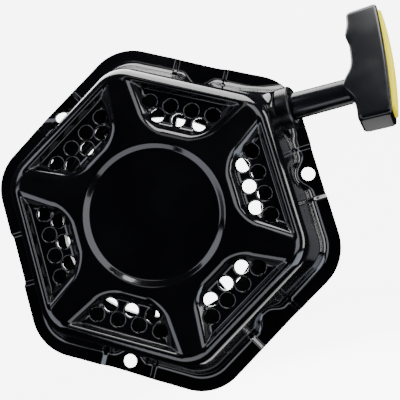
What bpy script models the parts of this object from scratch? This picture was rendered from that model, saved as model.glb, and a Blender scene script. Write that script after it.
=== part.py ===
"""Recoil starter for a small horizontal-shaft engine.

The starter is modelled lying on the bench: its mounting face is the plane z = 0, its cover
faces up (+z), and the crank axis is the z axis. The rope leaves to the right, rising a little
towards the cover's top. One empty, the bench, then stands the whole object up as it is fitted
on an engine, with the cover facing -Y.
"""
import math

import bmesh
import bpy
from mathutils import Matrix, Vector

MM = 0.001
GAP = 0.3 * MM                      # clearance between pieces that touch

# ---- cover: a stamped hexagonal dome -----------------------------------------------------------
SHEET = 1.5 * MM                    # steel sheet
COVER_HEIGHT = 40.0 * MM            # mounting face to the top of the ribs
RIM_APOTHEM = 90.3 * MM             # crank axis to the rim's flat edge
RIM_CORNER_R = 28.0 * MM
RIM_STEP = 2.5 * MM                 # the rim stands this far above its six pads
PAD_HALF_WIDTH = 13.0 * MM
PAD_RAMP = 3.0 * MM
FOOT_APOTHEM = 82.0 * MM            # the wall's foot
FOOT_CORNER_R = 17.5 * MM
WALL_TOP_APOTHEM = 70.1 * MM        # where the wall turns into the edge rail
WALL_TOP_CORNER_R = 19.0 * MM
RAIL_R = 4.0 * MM                   # fillet of the edge rail
BOLT_CIRCLE_R = 84.3 * MM           # three holes, 146 mm apart
BOLT_HOLE_R = 4.0 * MM
SCALLOP_R = 8.8 * MM                # room for a bolt head and its socket

# ---- vented pockets between the six ribs -------------------------------------------------------
POCKET_DEPTH = 5.0 * MM
POCKET_INNER = 42.0 * MM            # distances along a flat's normal
POCKET_OUTER = 64.0 * MM
POCKET_INNER_HALF = 14.5 * MM
POCKET_OUTER_HALF = 29.5 * MM
POCKET_CORNER_R = 7.0 * MM
POCKET_BEVEL = 4.0 * MM             # width of the sloped sides
POCKET_RAIL_BEVEL = 1.5 * MM        # width of the steep side at the rail
VENT_R = 3.5 * MM
VENT_PITCH = 11.2 * MM
VENT_ROWS = ((50.0 * MM, 3), (56.2 * MM, 4))   # distance of each row, and its holes
RECESS_TOP_R = 36.5 * MM
RECESS_FLOOR_R = 33.0 * MM
RECESS_DEPTH = 2.5 * MM

# ---- louvre slots in the side walls ------------------------------------------------------------
LOUVRE_LENGTH = 17.0 * MM
LOUVRE_WIDTH = 2.0 * MM
LOUVRE_OFFSET = 19.0 * MM           # from the middle of a flat
LOUVRE_HEIGHTS = (11.5 * MM, 18.0 * MM, 24.5 * MM)

# ---- rope: guide, coil and end -----------------------------------------------------------------
ROPE_R = 2.0 * MM
SEAT_Z = 15.7 * MM                  # middle of the rope guide's flat seat
SEAT_Y = 36.3 * MM
SEAT_OUT = 1.69 * MM                # how far the seat stands out from the sloping wall
WALL_LEAN = (FOOT_APOTHEM - WALL_TOP_APOTHEM) / (COVER_HEIGHT - RAIL_R)
SEAT_X = FOOT_APOTHEM - WALL_LEAN * SEAT_Z + SEAT_OUT
ROPE_TILT = math.radians(21.5)      # the rope leaves forwards, square to the sloping wall
ROPE_DROOP = math.radians(7.0)
BOSS_ROOT = 16.0 * MM               # depth of the boss behind its seat
BOSS_FACE_HALF = 13.2 * MM
BOSS_ROOT_HALF = 16.5 * MM
GUIDE_NECK_R = 7.6 * MM
GUIDE_COLLAR_R = 11.2 * MM
GUIDE_COLLAR_LENGTH = 7.2 * MM
GUIDE_BORE_R = ROPE_R + 0.7 * MM
GUIDE_NECK_INSIDE = 4.5 * MM        # neck standing into the cover
CLIP_THICKNESS = 1.5 * MM

# ---- centre post and reel ----------------------------------------------------------------------
POST_R = 6.0 * MM
POST_FLANGE_R = 12.0 * MM
POST_FLANGE = 2.0 * MM
POST_END_Z = 7.2 * MM
POST_THREAD_R = 2.75 * MM
POST_THREAD_DEPTH = 18.0 * MM
REEL_BACK_Z = 8.5 * MM              # engine side of the reel's boss
REEL_BOSS_R = 27.0 * MM
REEL_WEB_Z = (15.5 * MM, 19.5 * MM)
REEL_CUP_FLOOR = 2.0 * MM
REEL_CUP_R = 37.6 * MM              # inside of the spring cup
REEL_CUP_WALL = 2.4 * MM
REEL_CUP_TOP_Z = 33.0 * MM
REEL_SLEEVE_R = 9.0 * MM
GROOVE_MID_Z = 15.4 * MM
GROOVE_FLOOR_R = 58.0 * MM
GROOVE_FLANGE_R = GROOVE_FLOOR_R + 4.5 * ROPE_R
GROOVE_WIDTH = 4.4 * ROPE_R         # two turns side by side
FLANGE = 1.6 * MM
GROOVE_WALL = 2.4 * MM
WINDOW_COUNT = 8
SPOKE_WIDTH = 6.0 * MM
WINDOW_RIM = 1.5 * MM               # web left round the windows
KNOT_TURN = math.radians(90.0)      # where the rope is knotted to the reel

# ---- recoil spring -----------------------------------------------------------------------------
SPRING_STRIP = 0.7 * MM
SPRING_HEIGHT = 9.0 * MM
SPRING_TURNS = 7
SPRING_INNER_R = 10.4 * MM
SPRING_PIN_R = 1.6 * MM

# ---- ratchet -----------------------------------------------------------------------------------
PAWL_PIVOT_R = 18.0 * MM
PAWL_THICKNESS = 4.0 * MM
PAWL_PIN_R = 2.4 * MM
PAWL_PIN_LENGTH = 6.0 * MM
PAWL_EYE_R = 4.6 * MM
PAWL_REACH = 17.0 * MM              # pivot to tip
PAWL_SWING = math.radians(38.0)
PEG_R = 1.3 * MM
PEG_REACH = 6.5 * MM                # pivot to the cam peg
PAWL_REST_TURN = math.radians(98.0) # from the pivot's radius to the pawl's arm
GUIDE_TURN = math.radians(30.0)
GUIDE_DISC_R = 25.0 * MM
GUIDE_DISC_Z = (1.6 * MM, 3.8 * MM)
GUIDE_HUB_R = 10.2 * MM
CLIP_WIRE_R = 0.6 * MM

# ---- centre bolt (M6 flange bolt) --------------------------------------------------------------
BOLT_SHANK_R = 2.4 * MM
BOLT_HEAD_AF = 10.0 * MM
BOLT_HEAD = 3.0 * MM
BOLT_FLANGE_R = 6.6 * MM
LOCK_WASHER = 0.8 * MM              # thickness

# ---- pull handle -------------------------------------------------------------------------------
STEM_R = 7.3 * MM                   # at the end that sits in the guide
STEM_TOP_R = 6.6 * MM
STEM_SEAT_DEPTH = 2.6 * MM          # how far the stem sits in the guide's funnel
STEM_LENGTH = 35.5 * MM             # stem's end to the finger side of the grip
GRIP_DEPTH = 16.0 * MM              # finger side to back
GRIP_UP = 45.5 * MM                 # long arm
GRIP_DOWN = 22.5 * MM               # short arm
GRIP_THICKNESS = 15.0 * MM
GRIP_TWIST = math.radians(23.0)     # how the handle happens to lie about the rope
SHOULDER = 5.5 * MM                 # the grip swells towards the stem
SHOULDER_WIDTH = 7.5 * MM
RIDGE = 1.6 * MM                    # finger ridge on the long arm
RIDGE_PLACE = 31.0 * MM
RIDGE_WIDTH = 5.0 * MM
KNOT_CHAMBER_R = 7.0 * MM
KNOT_R = 5.2 * MM
KNOT_SQUASH = 0.85
GRIP_CROWN = 1.0 * MM               # the back is slightly bowed
INSERT_BULGE = 2.2 * MM
INSERT_SEAT = 2.0 * MM
INSERT_MARGIN = 2.6 * MM
WASHER_THICKNESS = 1.2 * MM

PARTS = bpy.data.collections.new("recoil_starter")
CUTTERS = bpy.data.collections.new("cutters")


def clear_scene():
    """Start from an empty scene."""
    for obj in list(bpy.data.objects):
        bpy.data.objects.remove(obj)
    for collection in (PARTS, CUTTERS):
        bpy.context.scene.collection.children.link(collection)


def make_material(name, colour, roughness, metallic):
    """A plain Principled material."""
    material = bpy.data.materials.new(name)
    material.use_nodes = True
    shader = material.node_tree.nodes["Principled BSDF"]
    shader.inputs["Base Color"].default_value = (*colour, 1.0)
    shader.inputs["Roughness"].default_value = roughness
    shader.inputs["Metallic"].default_value = metallic
    return material


# ---- outlines ----------------------------------------------------------------------------------
def arc(centre, radius, start, end, steps):
    """Points along an arc, angles in radians."""
    turns = [start + (end - start) * i / steps for i in range(steps + 1)]
    return [(centre[0] + radius * math.cos(a), centre[1] + radius * math.sin(a)) for a in turns]


def circle(radius, steps, centre=(0.0, 0.0)):
    return arc(centre, radius, 0.0, math.tau, steps)[:-1]


def rounded_hexagon(apothem, corner_r, steps=6):
    """A hexagon with a flat facing +x and round corners."""
    points = []
    for k in range(6):
        corner = math.radians(60 * k + 30)
        reach = (apothem - corner_r) / math.cos(math.radians(30))
        centre = (reach * math.cos(corner), reach * math.sin(corner))
        points += arc(centre, corner_r, math.radians(60 * k), math.radians(60 * k + 60), steps)
    return points


def rounded_rectangle(half_x, half_y, corner_r, steps=4):
    points = []
    for k, (sx, sy) in enumerate(((1, 1), (-1, 1), (-1, -1), (1, -1))):
        centre = (sx * (half_x - corner_r), sy * (half_y - corner_r))
        points += arc(centre, corner_r, k * math.pi / 2, (k + 1) * math.pi / 2, steps)
    return points


def pocket_outline(inset, rail_inset, steps=4):
    """A pocket's outline: a trapezoid whose long side lies along the rail.

    The two corners next to the middle are round. A positive inset makes it smaller.
    """
    slope = (POCKET_OUTER_HALF - POCKET_INNER_HALF) / (POCKET_OUTER - POCKET_INNER)
    side = math.atan(slope)
    near = POCKET_INNER + inset
    far = POCKET_OUTER - rail_inset
    half = POCKET_INNER_HALF - inset / math.cos(side)

    def half_at(n):
        return half + slope * (n - POCKET_INNER)

    corner_r = max(POCKET_CORNER_R - inset, 1.0 * MM)
    turn = math.pi / 2 - side
    back = corner_r * math.tan(turn / 2)
    centre = (near + corner_r, half_at(near) - back)
    upper = arc(centre, corner_r, math.pi / 2 + side, math.pi, steps)
    outline = [(far, -half_at(far)), (far, half_at(far))] + upper
    return outline + [(x, -y) for x, y in reversed(upper)]


# ---- solids ------------------------------------------------------------------------------------
def mesh_object(name, bm, collection=None):
    """Turn a bmesh into an object; collection None makes it a cutter."""
    bmesh.ops.recalc_face_normals(bm, faces=bm.faces)
    mesh = bpy.data.meshes.new(name)
    bm.to_mesh(mesh)
    bm.free()
    obj = bpy.data.objects.new(name, mesh)
    (collection or CUTTERS).objects.link(obj)
    if collection is None:
        obj.hide_render = True
        obj.display_type = "WIRE"
    return obj


def add_loft(bm, rings, matrix=None):
    """Skin a stack of rings that have the same number of points, with flat ends."""
    matrix = matrix or Matrix()
    layers = [[bm.verts.new(matrix @ Vector(p)) for p in ring] for ring in rings]
    count = len(layers[0])
    for low, high in zip(layers, layers[1:]):
        for i in range(count):
            j = (i + 1) % count
            bm.faces.new((low[i], low[j], high[j], high[i]))
    bm.faces.new(list(reversed(layers[0])))
    bm.faces.new(layers[-1])


def prism(bm, outline, z0, z1, matrix=None, top=None):
    """A straight prism, or a tapered one when top gives another outline."""
    rings = [[(x, y, z0) for x, y in outline], [(x, y, z1) for x, y in (top or outline)]]
    add_loft(bm, rings, matrix)


def lofted(name, sections, collection=None):
    """sections: (outline, z) pairs."""
    bm = bmesh.new()
    add_loft(bm, [[(x, y, z) for x, y in outline] for outline, z in sections])
    return mesh_object(name, bm, collection)


def turned(name, profile, collection=None, steps=48):
    """A turned solid: (radius, height) points down its outer side, round a Screw modifier."""
    bm = bmesh.new()
    verts = [bm.verts.new((r, 0.0, z)) for r, z in profile]
    for a, b in zip(verts, verts[1:]):
        bm.edges.new((a, b))
    if profile[0][0] > 0.0:
        bm.edges.new((verts[-1], verts[0]))
    mesh = bpy.data.meshes.new(name)
    bm.to_mesh(mesh)
    bm.free()
    obj = bpy.data.objects.new(name, mesh)
    (collection or CUTTERS).objects.link(obj)
    screw = obj.modifiers.new("turn", "SCREW")
    screw.steps = steps
    screw.render_steps = steps
    screw.use_merge_vertices = True
    screw.merge_threshold = 0.00001
    screw.use_smooth_shade = False
    apply_modifiers(obj)
    if collection is None:
        obj.hide_render = True
        obj.display_type = "WIRE"
    return obj


def apply_modifiers(obj):
    """Keep the evaluated mesh and drop the modifiers."""
    graph = bpy.context.evaluated_depsgraph_get()
    mesh = bpy.data.meshes.new_from_object(obj.evaluated_get(graph))
    old = obj.data
    obj.modifiers.clear()
    obj.data = mesh
    bpy.data.meshes.remove(old)
    bm = bmesh.new()
    bm.from_mesh(mesh)
    bmesh.ops.recalc_face_normals(bm, faces=bm.faces)
    bm.to_mesh(mesh)
    bm.free()


def combine(obj, tool, operation):
    """Apply one exact Boolean and remove its tool."""
    modifier = obj.modifiers.new("combine", "BOOLEAN")
    modifier.operation = operation
    modifier.solver = "EXACT"
    modifier.object = tool
    bpy.context.view_layer.update()
    apply_modifiers(obj)
    bpy.data.objects.remove(tool)
    return obj


def cut(obj, tool):
    return combine(obj, tool, "DIFFERENCE")


def join(obj, tool):
    return combine(obj, tool, "UNION")


def placed(obj, matrix):
    """Move a mesh's points, so that booleans need no object transforms."""
    obj.data.transform(matrix)
    return obj


def flat_turn(k):
    """Turns something modelled on the +x flat to flat k."""
    return Matrix.Rotation(math.radians(60 * k), 4, "Z")


# ---- cover -------------------------------------------------------------------------------------
def dome(name, inset):
    """The dome's skin, moved in by the sheet for its inside."""
    top = COVER_HEIGHT - inset
    wall_inset = inset * 1.06
    fillet = RAIL_R - inset
    sections = [(rounded_hexagon(FOOT_APOTHEM - wall_inset, FOOT_CORNER_R - wall_inset), -inset)]
    shoulder = WALL_TOP_APOTHEM - RAIL_R
    corner = WALL_TOP_CORNER_R - RAIL_R
    for i in range(5):
        lift = math.radians(90 * i / 4)
        out = fillet * math.cos(lift)
        level = top - fillet + fillet * math.sin(lift)
        sections.append((rounded_hexagon(shoulder + out, corner + out), level))
    return lofted(name, sections)


def pad_prisms(name, low, high, half_low, half_high):
    """Six wedges across the rim, one on each flat."""
    bm = bmesh.new()
    near = FOOT_APOTHEM - 14 * MM
    far = RIM_APOTHEM + 5 * MM
    for k in range(6):
        ring_low = [(near, -half_low, low), (far, -half_low, low), (far, half_low, low), (near, half_low, low)]
        ring_high = [(near, -half_high, high), (far, -half_high, high), (far, half_high, high),
                     (near, half_high, high)]
        add_loft(bm, [ring_low, ring_high], flat_turn(k))
    return mesh_object(name, bm)


def on_each_flat(name, outline, low, high, count=6, first=0, step=1, top=None):
    """The same prism on several flats."""
    bm = bmesh.new()
    for k in range(first, count * step + first, step):
        prism(bm, outline, low, high, flat_turn(k), top)
    return mesh_object(name, bm)


def rope_frame():
    """From a frame at the guide's seat, x along the leaving rope, to the bench."""
    turn = Matrix.Rotation(-ROPE_DROOP, 4, "Z") @ Matrix.Rotation(-ROPE_TILT, 4, "Y")
    return Matrix.Translation((SEAT_X, SEAT_Y, SEAT_Z)) @ turn


def boss(name, inset):
    """The boss under the rope guide, square to the rope."""
    swing = Matrix.Rotation(math.pi / 2, 4, "Y")
    face = rounded_rectangle(BOSS_FACE_HALF - inset, BOSS_FACE_HALF - inset, 6 * MM)
    root = rounded_rectangle(BOSS_ROOT_HALF - inset, BOSS_ROOT_HALF - inset, 7 * MM)
    bm = bmesh.new()
    prism(bm, root, -BOSS_ROOT - 2 * inset, -inset, rope_frame() @ swing, face)
    return mesh_object(name, bm)


def along_rope(name, profile, collection=None, steps=24):
    """A turned piece on the rope's line: (radius, distance from the seat), from the handle's end down."""
    obj = turned(name, profile, collection, steps)
    return placed(obj, rope_frame() @ Matrix.Rotation(math.pi / 2, 4, "Y"))


def make_cover():
    rim_top = RIM_STEP + SHEET
    outside = lofted("rim", [(rounded_hexagon(RIM_APOTHEM, RIM_CORNER_R), 0.0),
                             (rounded_hexagon(RIM_APOTHEM, RIM_CORNER_R), rim_top)], PARTS)
    cut(outside, pad_prisms("pad_tops", SHEET, rim_top + 1 * MM, PAD_HALF_WIDTH,
                            PAD_HALF_WIDTH + PAD_RAMP * (RIM_STEP + 1 * MM) / RIM_STEP))
    join(outside, dome("dome_outside", 0.0))
    join(outside, boss("boss_outside", 0.0))
    scallop = circle(SCALLOP_R, 20, (BOLT_CIRCLE_R, 0.0))
    cut(outside, on_each_flat("scallops", scallop, SHEET, COVER_HEIGHT))
    top = COVER_HEIGHT + 1 * MM
    rise = POCKET_DEPTH + 1 * MM
    cut(outside, on_each_flat(
        "pockets", pocket_outline(POCKET_BEVEL, POCKET_RAIL_BEVEL), COVER_HEIGHT - POCKET_DEPTH, top,
        top=pocket_outline(POCKET_BEVEL * (1 - rise / POCKET_DEPTH),
                           POCKET_RAIL_BEVEL * (1 - rise / POCKET_DEPTH))))
    flare = (RECESS_TOP_R - RECESS_FLOOR_R) / RECESS_DEPTH
    cut(outside, lofted("recess", [(circle(RECESS_FLOOR_R, 48), COVER_HEIGHT - RECESS_DEPTH),
                                   (circle(RECESS_TOP_R + flare * 1 * MM, 48), top)]))

    inside = dome("dome_inside", SHEET)
    scallop_skin = circle(SCALLOP_R + SHEET, 20, (BOLT_CIRCLE_R, 0.0))
    cut(inside, on_each_flat("scallop_skins", scallop_skin, -5 * MM, COVER_HEIGHT))
    join(inside, boss("boss_inside", SHEET))
    cut(inside, on_each_flat(
        "pocket_skins", pocket_outline(POCKET_BEVEL - SHEET, POCKET_RAIL_BEVEL - SHEET),
        COVER_HEIGHT - POCKET_DEPTH - SHEET, top,
        top=pocket_outline(POCKET_BEVEL * (1 - rise / POCKET_DEPTH) - 2 * SHEET, -2 * SHEET)))
    cut(inside, lofted("recess_skin", [(circle(RECESS_FLOOR_R + SHEET, 48), COVER_HEIGHT - RECESS_DEPTH - SHEET),
                                       (circle(RECESS_TOP_R + 2 * SHEET, 48), top)]))
    below = lofted("below", [(rounded_hexagon(RIM_APOTHEM + 8 * MM, RIM_CORNER_R), -12 * MM),
                             (rounded_hexagon(RIM_APOTHEM + 8 * MM, RIM_CORNER_R), RIM_STEP)])
    cut(below, pad_prisms("pad_undersides", 0.0, RIM_STEP + 1 * MM, PAD_HALF_WIDTH,
                          PAD_HALF_WIDTH + PAD_RAMP * (RIM_STEP + 1 * MM) / RIM_STEP))
    join(inside, below)
    cut(outside, inside)

    cut(outside, on_each_flat("bolt_holes", circle(BOLT_HOLE_R, 20, (BOLT_CIRCLE_R, 0.0)),
                              -2 * MM, 4 * MM, count=3, step=2))
    cut(outside, vent_holes())
    cut(outside, louvres())
    cut(outside, along_rope("guide_hole", [(0.0, 3 * MM), (GUIDE_NECK_R + GAP, 3 * MM),
                                           (GUIDE_NECK_R + GAP, -4 * MM), (0.0, -4 * MM)]))
    outside.name = "cover"
    return outside


def vent_holes():
    bm = bmesh.new()
    floor = COVER_HEIGHT - POCKET_DEPTH
    for k in range(6):
        for distance, count in VENT_ROWS:
            for i in range(count):
                along = (i - (count - 1) / 2) * VENT_PITCH
                hole = circle(VENT_R, 10, (distance, along))
                prism(bm, hole, floor - SHEET - 1 * MM, floor + 1 * MM, flat_turn(k))
    return mesh_object("vent_holes", bm)


def louvres():
    """Thin slots along the walls, three on each side of a flat's scallop.

    The two groups next to the rope guide's boss are left out.
    """
    bm = bmesh.new()
    draft = (FOOT_APOTHEM - WALL_TOP_APOTHEM) / (COVER_HEIGHT - RAIL_R)
    for k in range(6):
        for side in (-1, 1):
            if (k, side) in ((0, 1), (1, -1)):
                continue
            for height in LOUVRE_HEIGHTS:
                wall = FOOT_APOTHEM - draft * height
                middle = side * LOUVRE_OFFSET
                half = LOUVRE_LENGTH / 2
                slot = [(wall - 4 * MM, middle - half), (wall + 3 * MM, middle - half),
                        (wall + 3 * MM, middle + half), (wall - 4 * MM, middle + half)]
                prism(bm, slot, height - LOUVRE_WIDTH / 2, height + LOUVRE_WIDTH / 2, flat_turn(k))
    return mesh_object("louvres", bm)


# ---- rope guide --------------------------------------------------------------------------------
GUIDE_FACE = GAP + GUIDE_COLLAR_LENGTH
STEM_END = GUIDE_FACE - STEM_SEAT_DEPTH
GUIDE_INNER = -SHEET - GUIDE_NECK_INSIDE


def make_rope_guide():
    """A turned bushing: neck through the boss, collar on its seat, funnel for the stem."""
    lip = 0.8 * MM
    funnel_r = STEM_R + 1.1 * MM
    return along_rope("rope_guide", [
        (funnel_r, GUIDE_FACE), (GUIDE_COLLAR_R - lip, GUIDE_FACE),
        (GUIDE_COLLAR_R, GUIDE_FACE - lip), (GUIDE_COLLAR_R, GAP),
        (GUIDE_NECK_R, GAP), (GUIDE_NECK_R, GUIDE_INNER),
        (GUIDE_BORE_R + 2.0 * MM, GUIDE_INNER), (GUIDE_BORE_R, GUIDE_INNER + 2.0 * MM),
        (GUIDE_BORE_R, STEM_END - GAP - 1.5 * MM), (GUIDE_BORE_R + 1.5 * MM, STEM_END - GAP),
        (STEM_R + 0.6 * MM, STEM_END - GAP),
    ], PARTS)


def make_guide_clip():
    """A toothless push-on ring that holds the guide from inside the cover."""
    high = -SHEET - GAP
    low = high - CLIP_THICKNESS
    inner = GUIDE_NECK_R + GAP
    outer = GUIDE_NECK_R + 2.6 * MM
    return along_rope("guide_clip", [(inner, high), (outer, high), (outer, low), (inner, low)], PARTS)


# ---- post, spring and reel ---------------------------------------------------------------------
POST_TOP_Z = COVER_HEIGHT - RECESS_DEPTH - SHEET - GAP
GROOVE_TOP_Z = GROOVE_MID_Z + GROOVE_WIDTH / 2
GROOVE_LOW_Z = GROOVE_MID_Z - GROOVE_WIDTH / 2
CUP_FLOOR_Z = REEL_WEB_Z[1] + REEL_CUP_FLOOR
CUP_OUTER_R = REEL_CUP_R + REEL_CUP_WALL


def make_centre_post():
    bottom = POST_END_Z
    thread_top = bottom + POST_THREAD_DEPTH
    flange_low = POST_TOP_Z - POST_FLANGE
    return turned("centre_post", [
        (0.0, POST_TOP_Z), (POST_FLANGE_R, POST_TOP_Z), (POST_FLANGE_R, flange_low), (POST_R, flange_low),
        (POST_R, bottom), (POST_THREAD_R, bottom), (POST_THREAD_R, thread_top), (0.0, thread_top),
    ], PARTS, 32)


def make_reel():
    bore = POST_R + GAP
    web_low, web_high = REEL_WEB_Z
    reel = turned("starter_reel", [
        (bore, REEL_CUP_TOP_Z - 2 * MM), (REEL_SLEEVE_R, REEL_CUP_TOP_Z - 2 * MM), (REEL_SLEEVE_R, CUP_FLOOR_Z),
        (REEL_CUP_R, CUP_FLOOR_Z), (REEL_CUP_R, REEL_CUP_TOP_Z), (CUP_OUTER_R, REEL_CUP_TOP_Z),
        (CUP_OUTER_R, web_high), (GROOVE_FLOOR_R - GROOVE_WALL, web_high),
        (GROOVE_FLOOR_R - GROOVE_WALL, GROOVE_TOP_Z + FLANGE), (GROOVE_FLANGE_R, GROOVE_TOP_Z + FLANGE),
        (GROOVE_FLANGE_R, GROOVE_TOP_Z), (GROOVE_FLOOR_R, GROOVE_TOP_Z), (GROOVE_FLOOR_R, GROOVE_LOW_Z),
        (GROOVE_FLANGE_R, GROOVE_LOW_Z), (GROOVE_FLANGE_R, GROOVE_LOW_Z - FLANGE),
        (GROOVE_FLOOR_R - GROOVE_WALL, GROOVE_LOW_Z - FLANGE), (GROOVE_FLOOR_R - GROOVE_WALL, web_low),
        (REEL_BOSS_R, web_low), (REEL_BOSS_R, REEL_BACK_Z), (bore, REEL_BACK_Z),
    ], PARTS, 48)
    cut(reel, reel_windows())
    bm = bmesh.new()
    for angle in pawl_angles():
        pivot = (PAWL_PIVOT_R * math.cos(angle), PAWL_PIVOT_R * math.sin(angle))
        prism(bm, circle(PAWL_PIN_R + GAP, 12, pivot), REEL_BACK_Z - 1 * MM,
              REEL_BACK_Z + PAWL_PIN_LENGTH + GAP)
    spring_pin = spring_pin_place()
    prism(bm, circle(SPRING_PIN_R + GAP, 10, spring_pin), CUP_FLOOR_Z - 1.5 * MM, CUP_FLOOR_Z + 1 * MM)
    cut(reel, mesh_object("reel_holes", bm))
    knot_hole = turned("knot_hole", [(0.0, GROOVE_FLOOR_R + 1 * MM), (ROPE_R + GAP, GROOVE_FLOOR_R + 1 * MM),
                                     (ROPE_R + GAP, GROOVE_FLOOR_R - 2 * GROOVE_WALL),
                                     (0.0, GROOVE_FLOOR_R - 2 * GROOVE_WALL)], None, 12)
    swing = Matrix.Translation((0, 0, GROOVE_MID_Z)) @ Matrix.Rotation(math.pi / 2, 4, "Y")
    return cut(reel, placed(knot_hole, Matrix.Rotation(KNOT_TURN, 4, "Z") @ swing))


def reel_windows():
    """Windows between the spring cup and the groove, parted by straight spokes."""
    bm = bmesh.new()
    inner = CUP_OUTER_R + WINDOW_RIM
    outer = GROOVE_FLOOR_R - GROOVE_WALL - WINDOW_RIM
    for i in range(WINDOW_COUNT):
        middle = math.tau * i / WINDOW_COUNT
        half_in = math.pi / WINDOW_COUNT - SPOKE_WIDTH / 2 / inner
        half_out = math.pi / WINDOW_COUNT - SPOKE_WIDTH / 2 / outer
        outline = arc((0, 0), outer, middle - half_out, middle + half_out, 6)
        outline += arc((0, 0), inner, middle + half_in, middle - half_in, 6)
        prism(bm, outline, REEL_WEB_Z[0] - 1 * MM, REEL_WEB_Z[1] + 1 * MM)
    return mesh_object("windows", bm)


def spring_pin_place():
    """The pin stands just inside the cup's wall."""
    reach = REEL_CUP_R - SPRING_PIN_R - GAP
    return (reach * math.cos(math.pi), reach * math.sin(math.pi))


def make_spring_pin():
    bm = bmesh.new()
    low = CUP_FLOOR_Z - 1.5 * MM + GAP
    prism(bm, circle(SPRING_PIN_R, 12, spring_pin_place()), low, low + SPRING_HEIGHT)
    return mesh_object("spring_pin", bm, PARTS)


def make_recoil_spring():
    """A flat strip wound into a spiral, standing on edge in the cup."""
    low = CUP_FLOOR_Z + GAP
    steps = SPRING_TURNS * 20
    outer_r = REEL_CUP_R - 2 * SPRING_PIN_R - 2 * GAP - SPRING_STRIP
    bm = bmesh.new()
    previous = None
    for i in range(steps + 1):
        share = i / steps
        radius = SPRING_INNER_R + (outer_r - SPRING_INNER_R) * share
        angle = math.pi + math.tau * SPRING_TURNS * (share - 1)
        x, y = radius * math.cos(angle), radius * math.sin(angle)
        edge = (bm.verts.new((x, y, low)), bm.verts.new((x, y, low + SPRING_HEIGHT)))
        if previous:
            bm.faces.new((previous[0], edge[0], edge[1], previous[1]))
        previous = edge
    spring = mesh_object("recoil_spring", bm, PARTS)
    solidify = spring.modifiers.new("strip", "SOLIDIFY")
    solidify.thickness = SPRING_STRIP
    solidify.offset = 0.0
    apply_modifiers(spring)
    return spring


def make_rope_coil():
    """Four turns of rope in the groove, two beside each other and two on top of them."""
    inner = GROOVE_FLOOR_R + GAP
    layer_1 = inner + ROPE_R
    layer_2 = layer_1 + ROPE_R * math.sqrt(3)
    bead = 0.96 * ROPE_R
    places = [(layer_1, GROOVE_MID_Z + ROPE_R), (layer_2, GROOVE_MID_Z + ROPE_R * 0.98),
              (layer_2, GROOVE_MID_Z - ROPE_R * 0.98), (layer_1, GROOVE_MID_Z - ROPE_R)]
    profile = []
    for (r, z), (start, end) in zip(places, ((150, 20), (75, -30), (30, -75), (-20, -150))):
        for i in range(4):
            turn = math.radians(start + (end - start) * i / 3)
            profile.append((r + bead * math.cos(turn), z + bead * math.sin(turn)))
    return turned("rope_coil", profile, PARTS, 36)


def rope_run_points():
    """From where the rope has left the coil to the guide, along the coil's tangent."""
    coil_r = GROOVE_FLOOR_R + GAP + ROPE_R + ROPE_R * math.sqrt(3)
    end = rope_frame() @ Vector((GUIDE_INNER - 1.6 * MM, 0, 0))
    reach = math.hypot(end.x, end.y)
    touch = math.atan2(end.y, end.x) + math.acos(coil_r / reach)
    start = Vector((coil_r * math.cos(touch), coil_r * math.sin(touch), GROOVE_MID_Z))
    clear = math.sqrt((coil_r + 2 * ROPE_R + GAP) ** 2 - coil_r ** 2)
    direction = (end - start).normalized()
    return [start + direction * clear, end]


def tube(name, points, radius, resolution=2):
    """A round wire or rope along some points, as a mesh with welded caps."""
    curve = bpy.data.curves.new(name, "CURVE")
    curve.dimensions = "3D"
    curve.bevel_depth = radius
    curve.bevel_resolution = resolution
    curve.use_fill_caps = True
    spline = curve.splines.new("POLY")
    spline.points.add(len(points) - 1)
    for point, place in zip(spline.points, points):
        point.co = (*place, 1.0)
    wire = bpy.data.objects.new(name + "_curve", curve)
    CUTTERS.objects.link(wire)
    bpy.context.view_layer.update()
    mesh = bpy.data.meshes.new_from_object(wire.evaluated_get(bpy.context.evaluated_depsgraph_get()))
    place = wire.matrix_world.copy()
    bpy.data.objects.remove(wire)
    bm = bmesh.new()
    bm.from_mesh(mesh)
    bmesh.ops.remove_doubles(bm, verts=bm.verts, dist=0.00001)
    obj = mesh_object(name, bm, PARTS)
    obj.matrix_world = place
    return obj


def make_rope_end():
    """The rope from the guide to its knot in the handle."""
    rope = tube("rope_end", [(GUIDE_INNER + GAP, 0, 0), (GRIP_INNER, 0, 0), (KNOT_PLACE, 0, 0)], ROPE_R)
    bm = bmesh.new()
    bmesh.ops.create_uvsphere(bm, u_segments=12, v_segments=8, radius=KNOT_R)
    stretch = Matrix.Translation((KNOT_PLACE, 0, 0)) @ Matrix.Diagonal((KNOT_SQUASH, 1.0, 1.0, 1.0))
    bmesh.ops.transform(bm, matrix=stretch, verts=bm.verts)
    return placed(join(rope, mesh_object("knot", bm)), rope_frame())


def make_reel_knot():
    """The rope's inner end: through the groove's floor, and knotted in a window of the web."""
    knot_r = 3.2 * MM
    reach = GROOVE_FLOOR_R - GROOVE_WALL - WINDOW_RIM - 2 * GAP - knot_r
    knot = tube("reel_knot", [(reach, 0, GROOVE_MID_Z), (GROOVE_FLOOR_R - GAP, 0, GROOVE_MID_Z)], ROPE_R)
    bm = bmesh.new()
    bmesh.ops.create_uvsphere(bm, u_segments=12, v_segments=8, radius=knot_r)
    bmesh.ops.transform(bm, matrix=Matrix.Translation((reach, 0, GROOVE_MID_Z)), verts=bm.verts)
    return placed(join(knot, mesh_object("knot_ball", bm)), Matrix.Rotation(KNOT_TURN, 4, "Z"))


# ---- ratchet -----------------------------------------------------------------------------------
def pawl_angles():
    """The two pawls stand on opposite sides of the crank axis."""
    return (math.radians(90), math.radians(270))


PAWL_TOP_Z = REEL_BACK_Z - GAP
PAWL_LOW_Z = PAWL_TOP_Z - PAWL_THICKNESS


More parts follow.
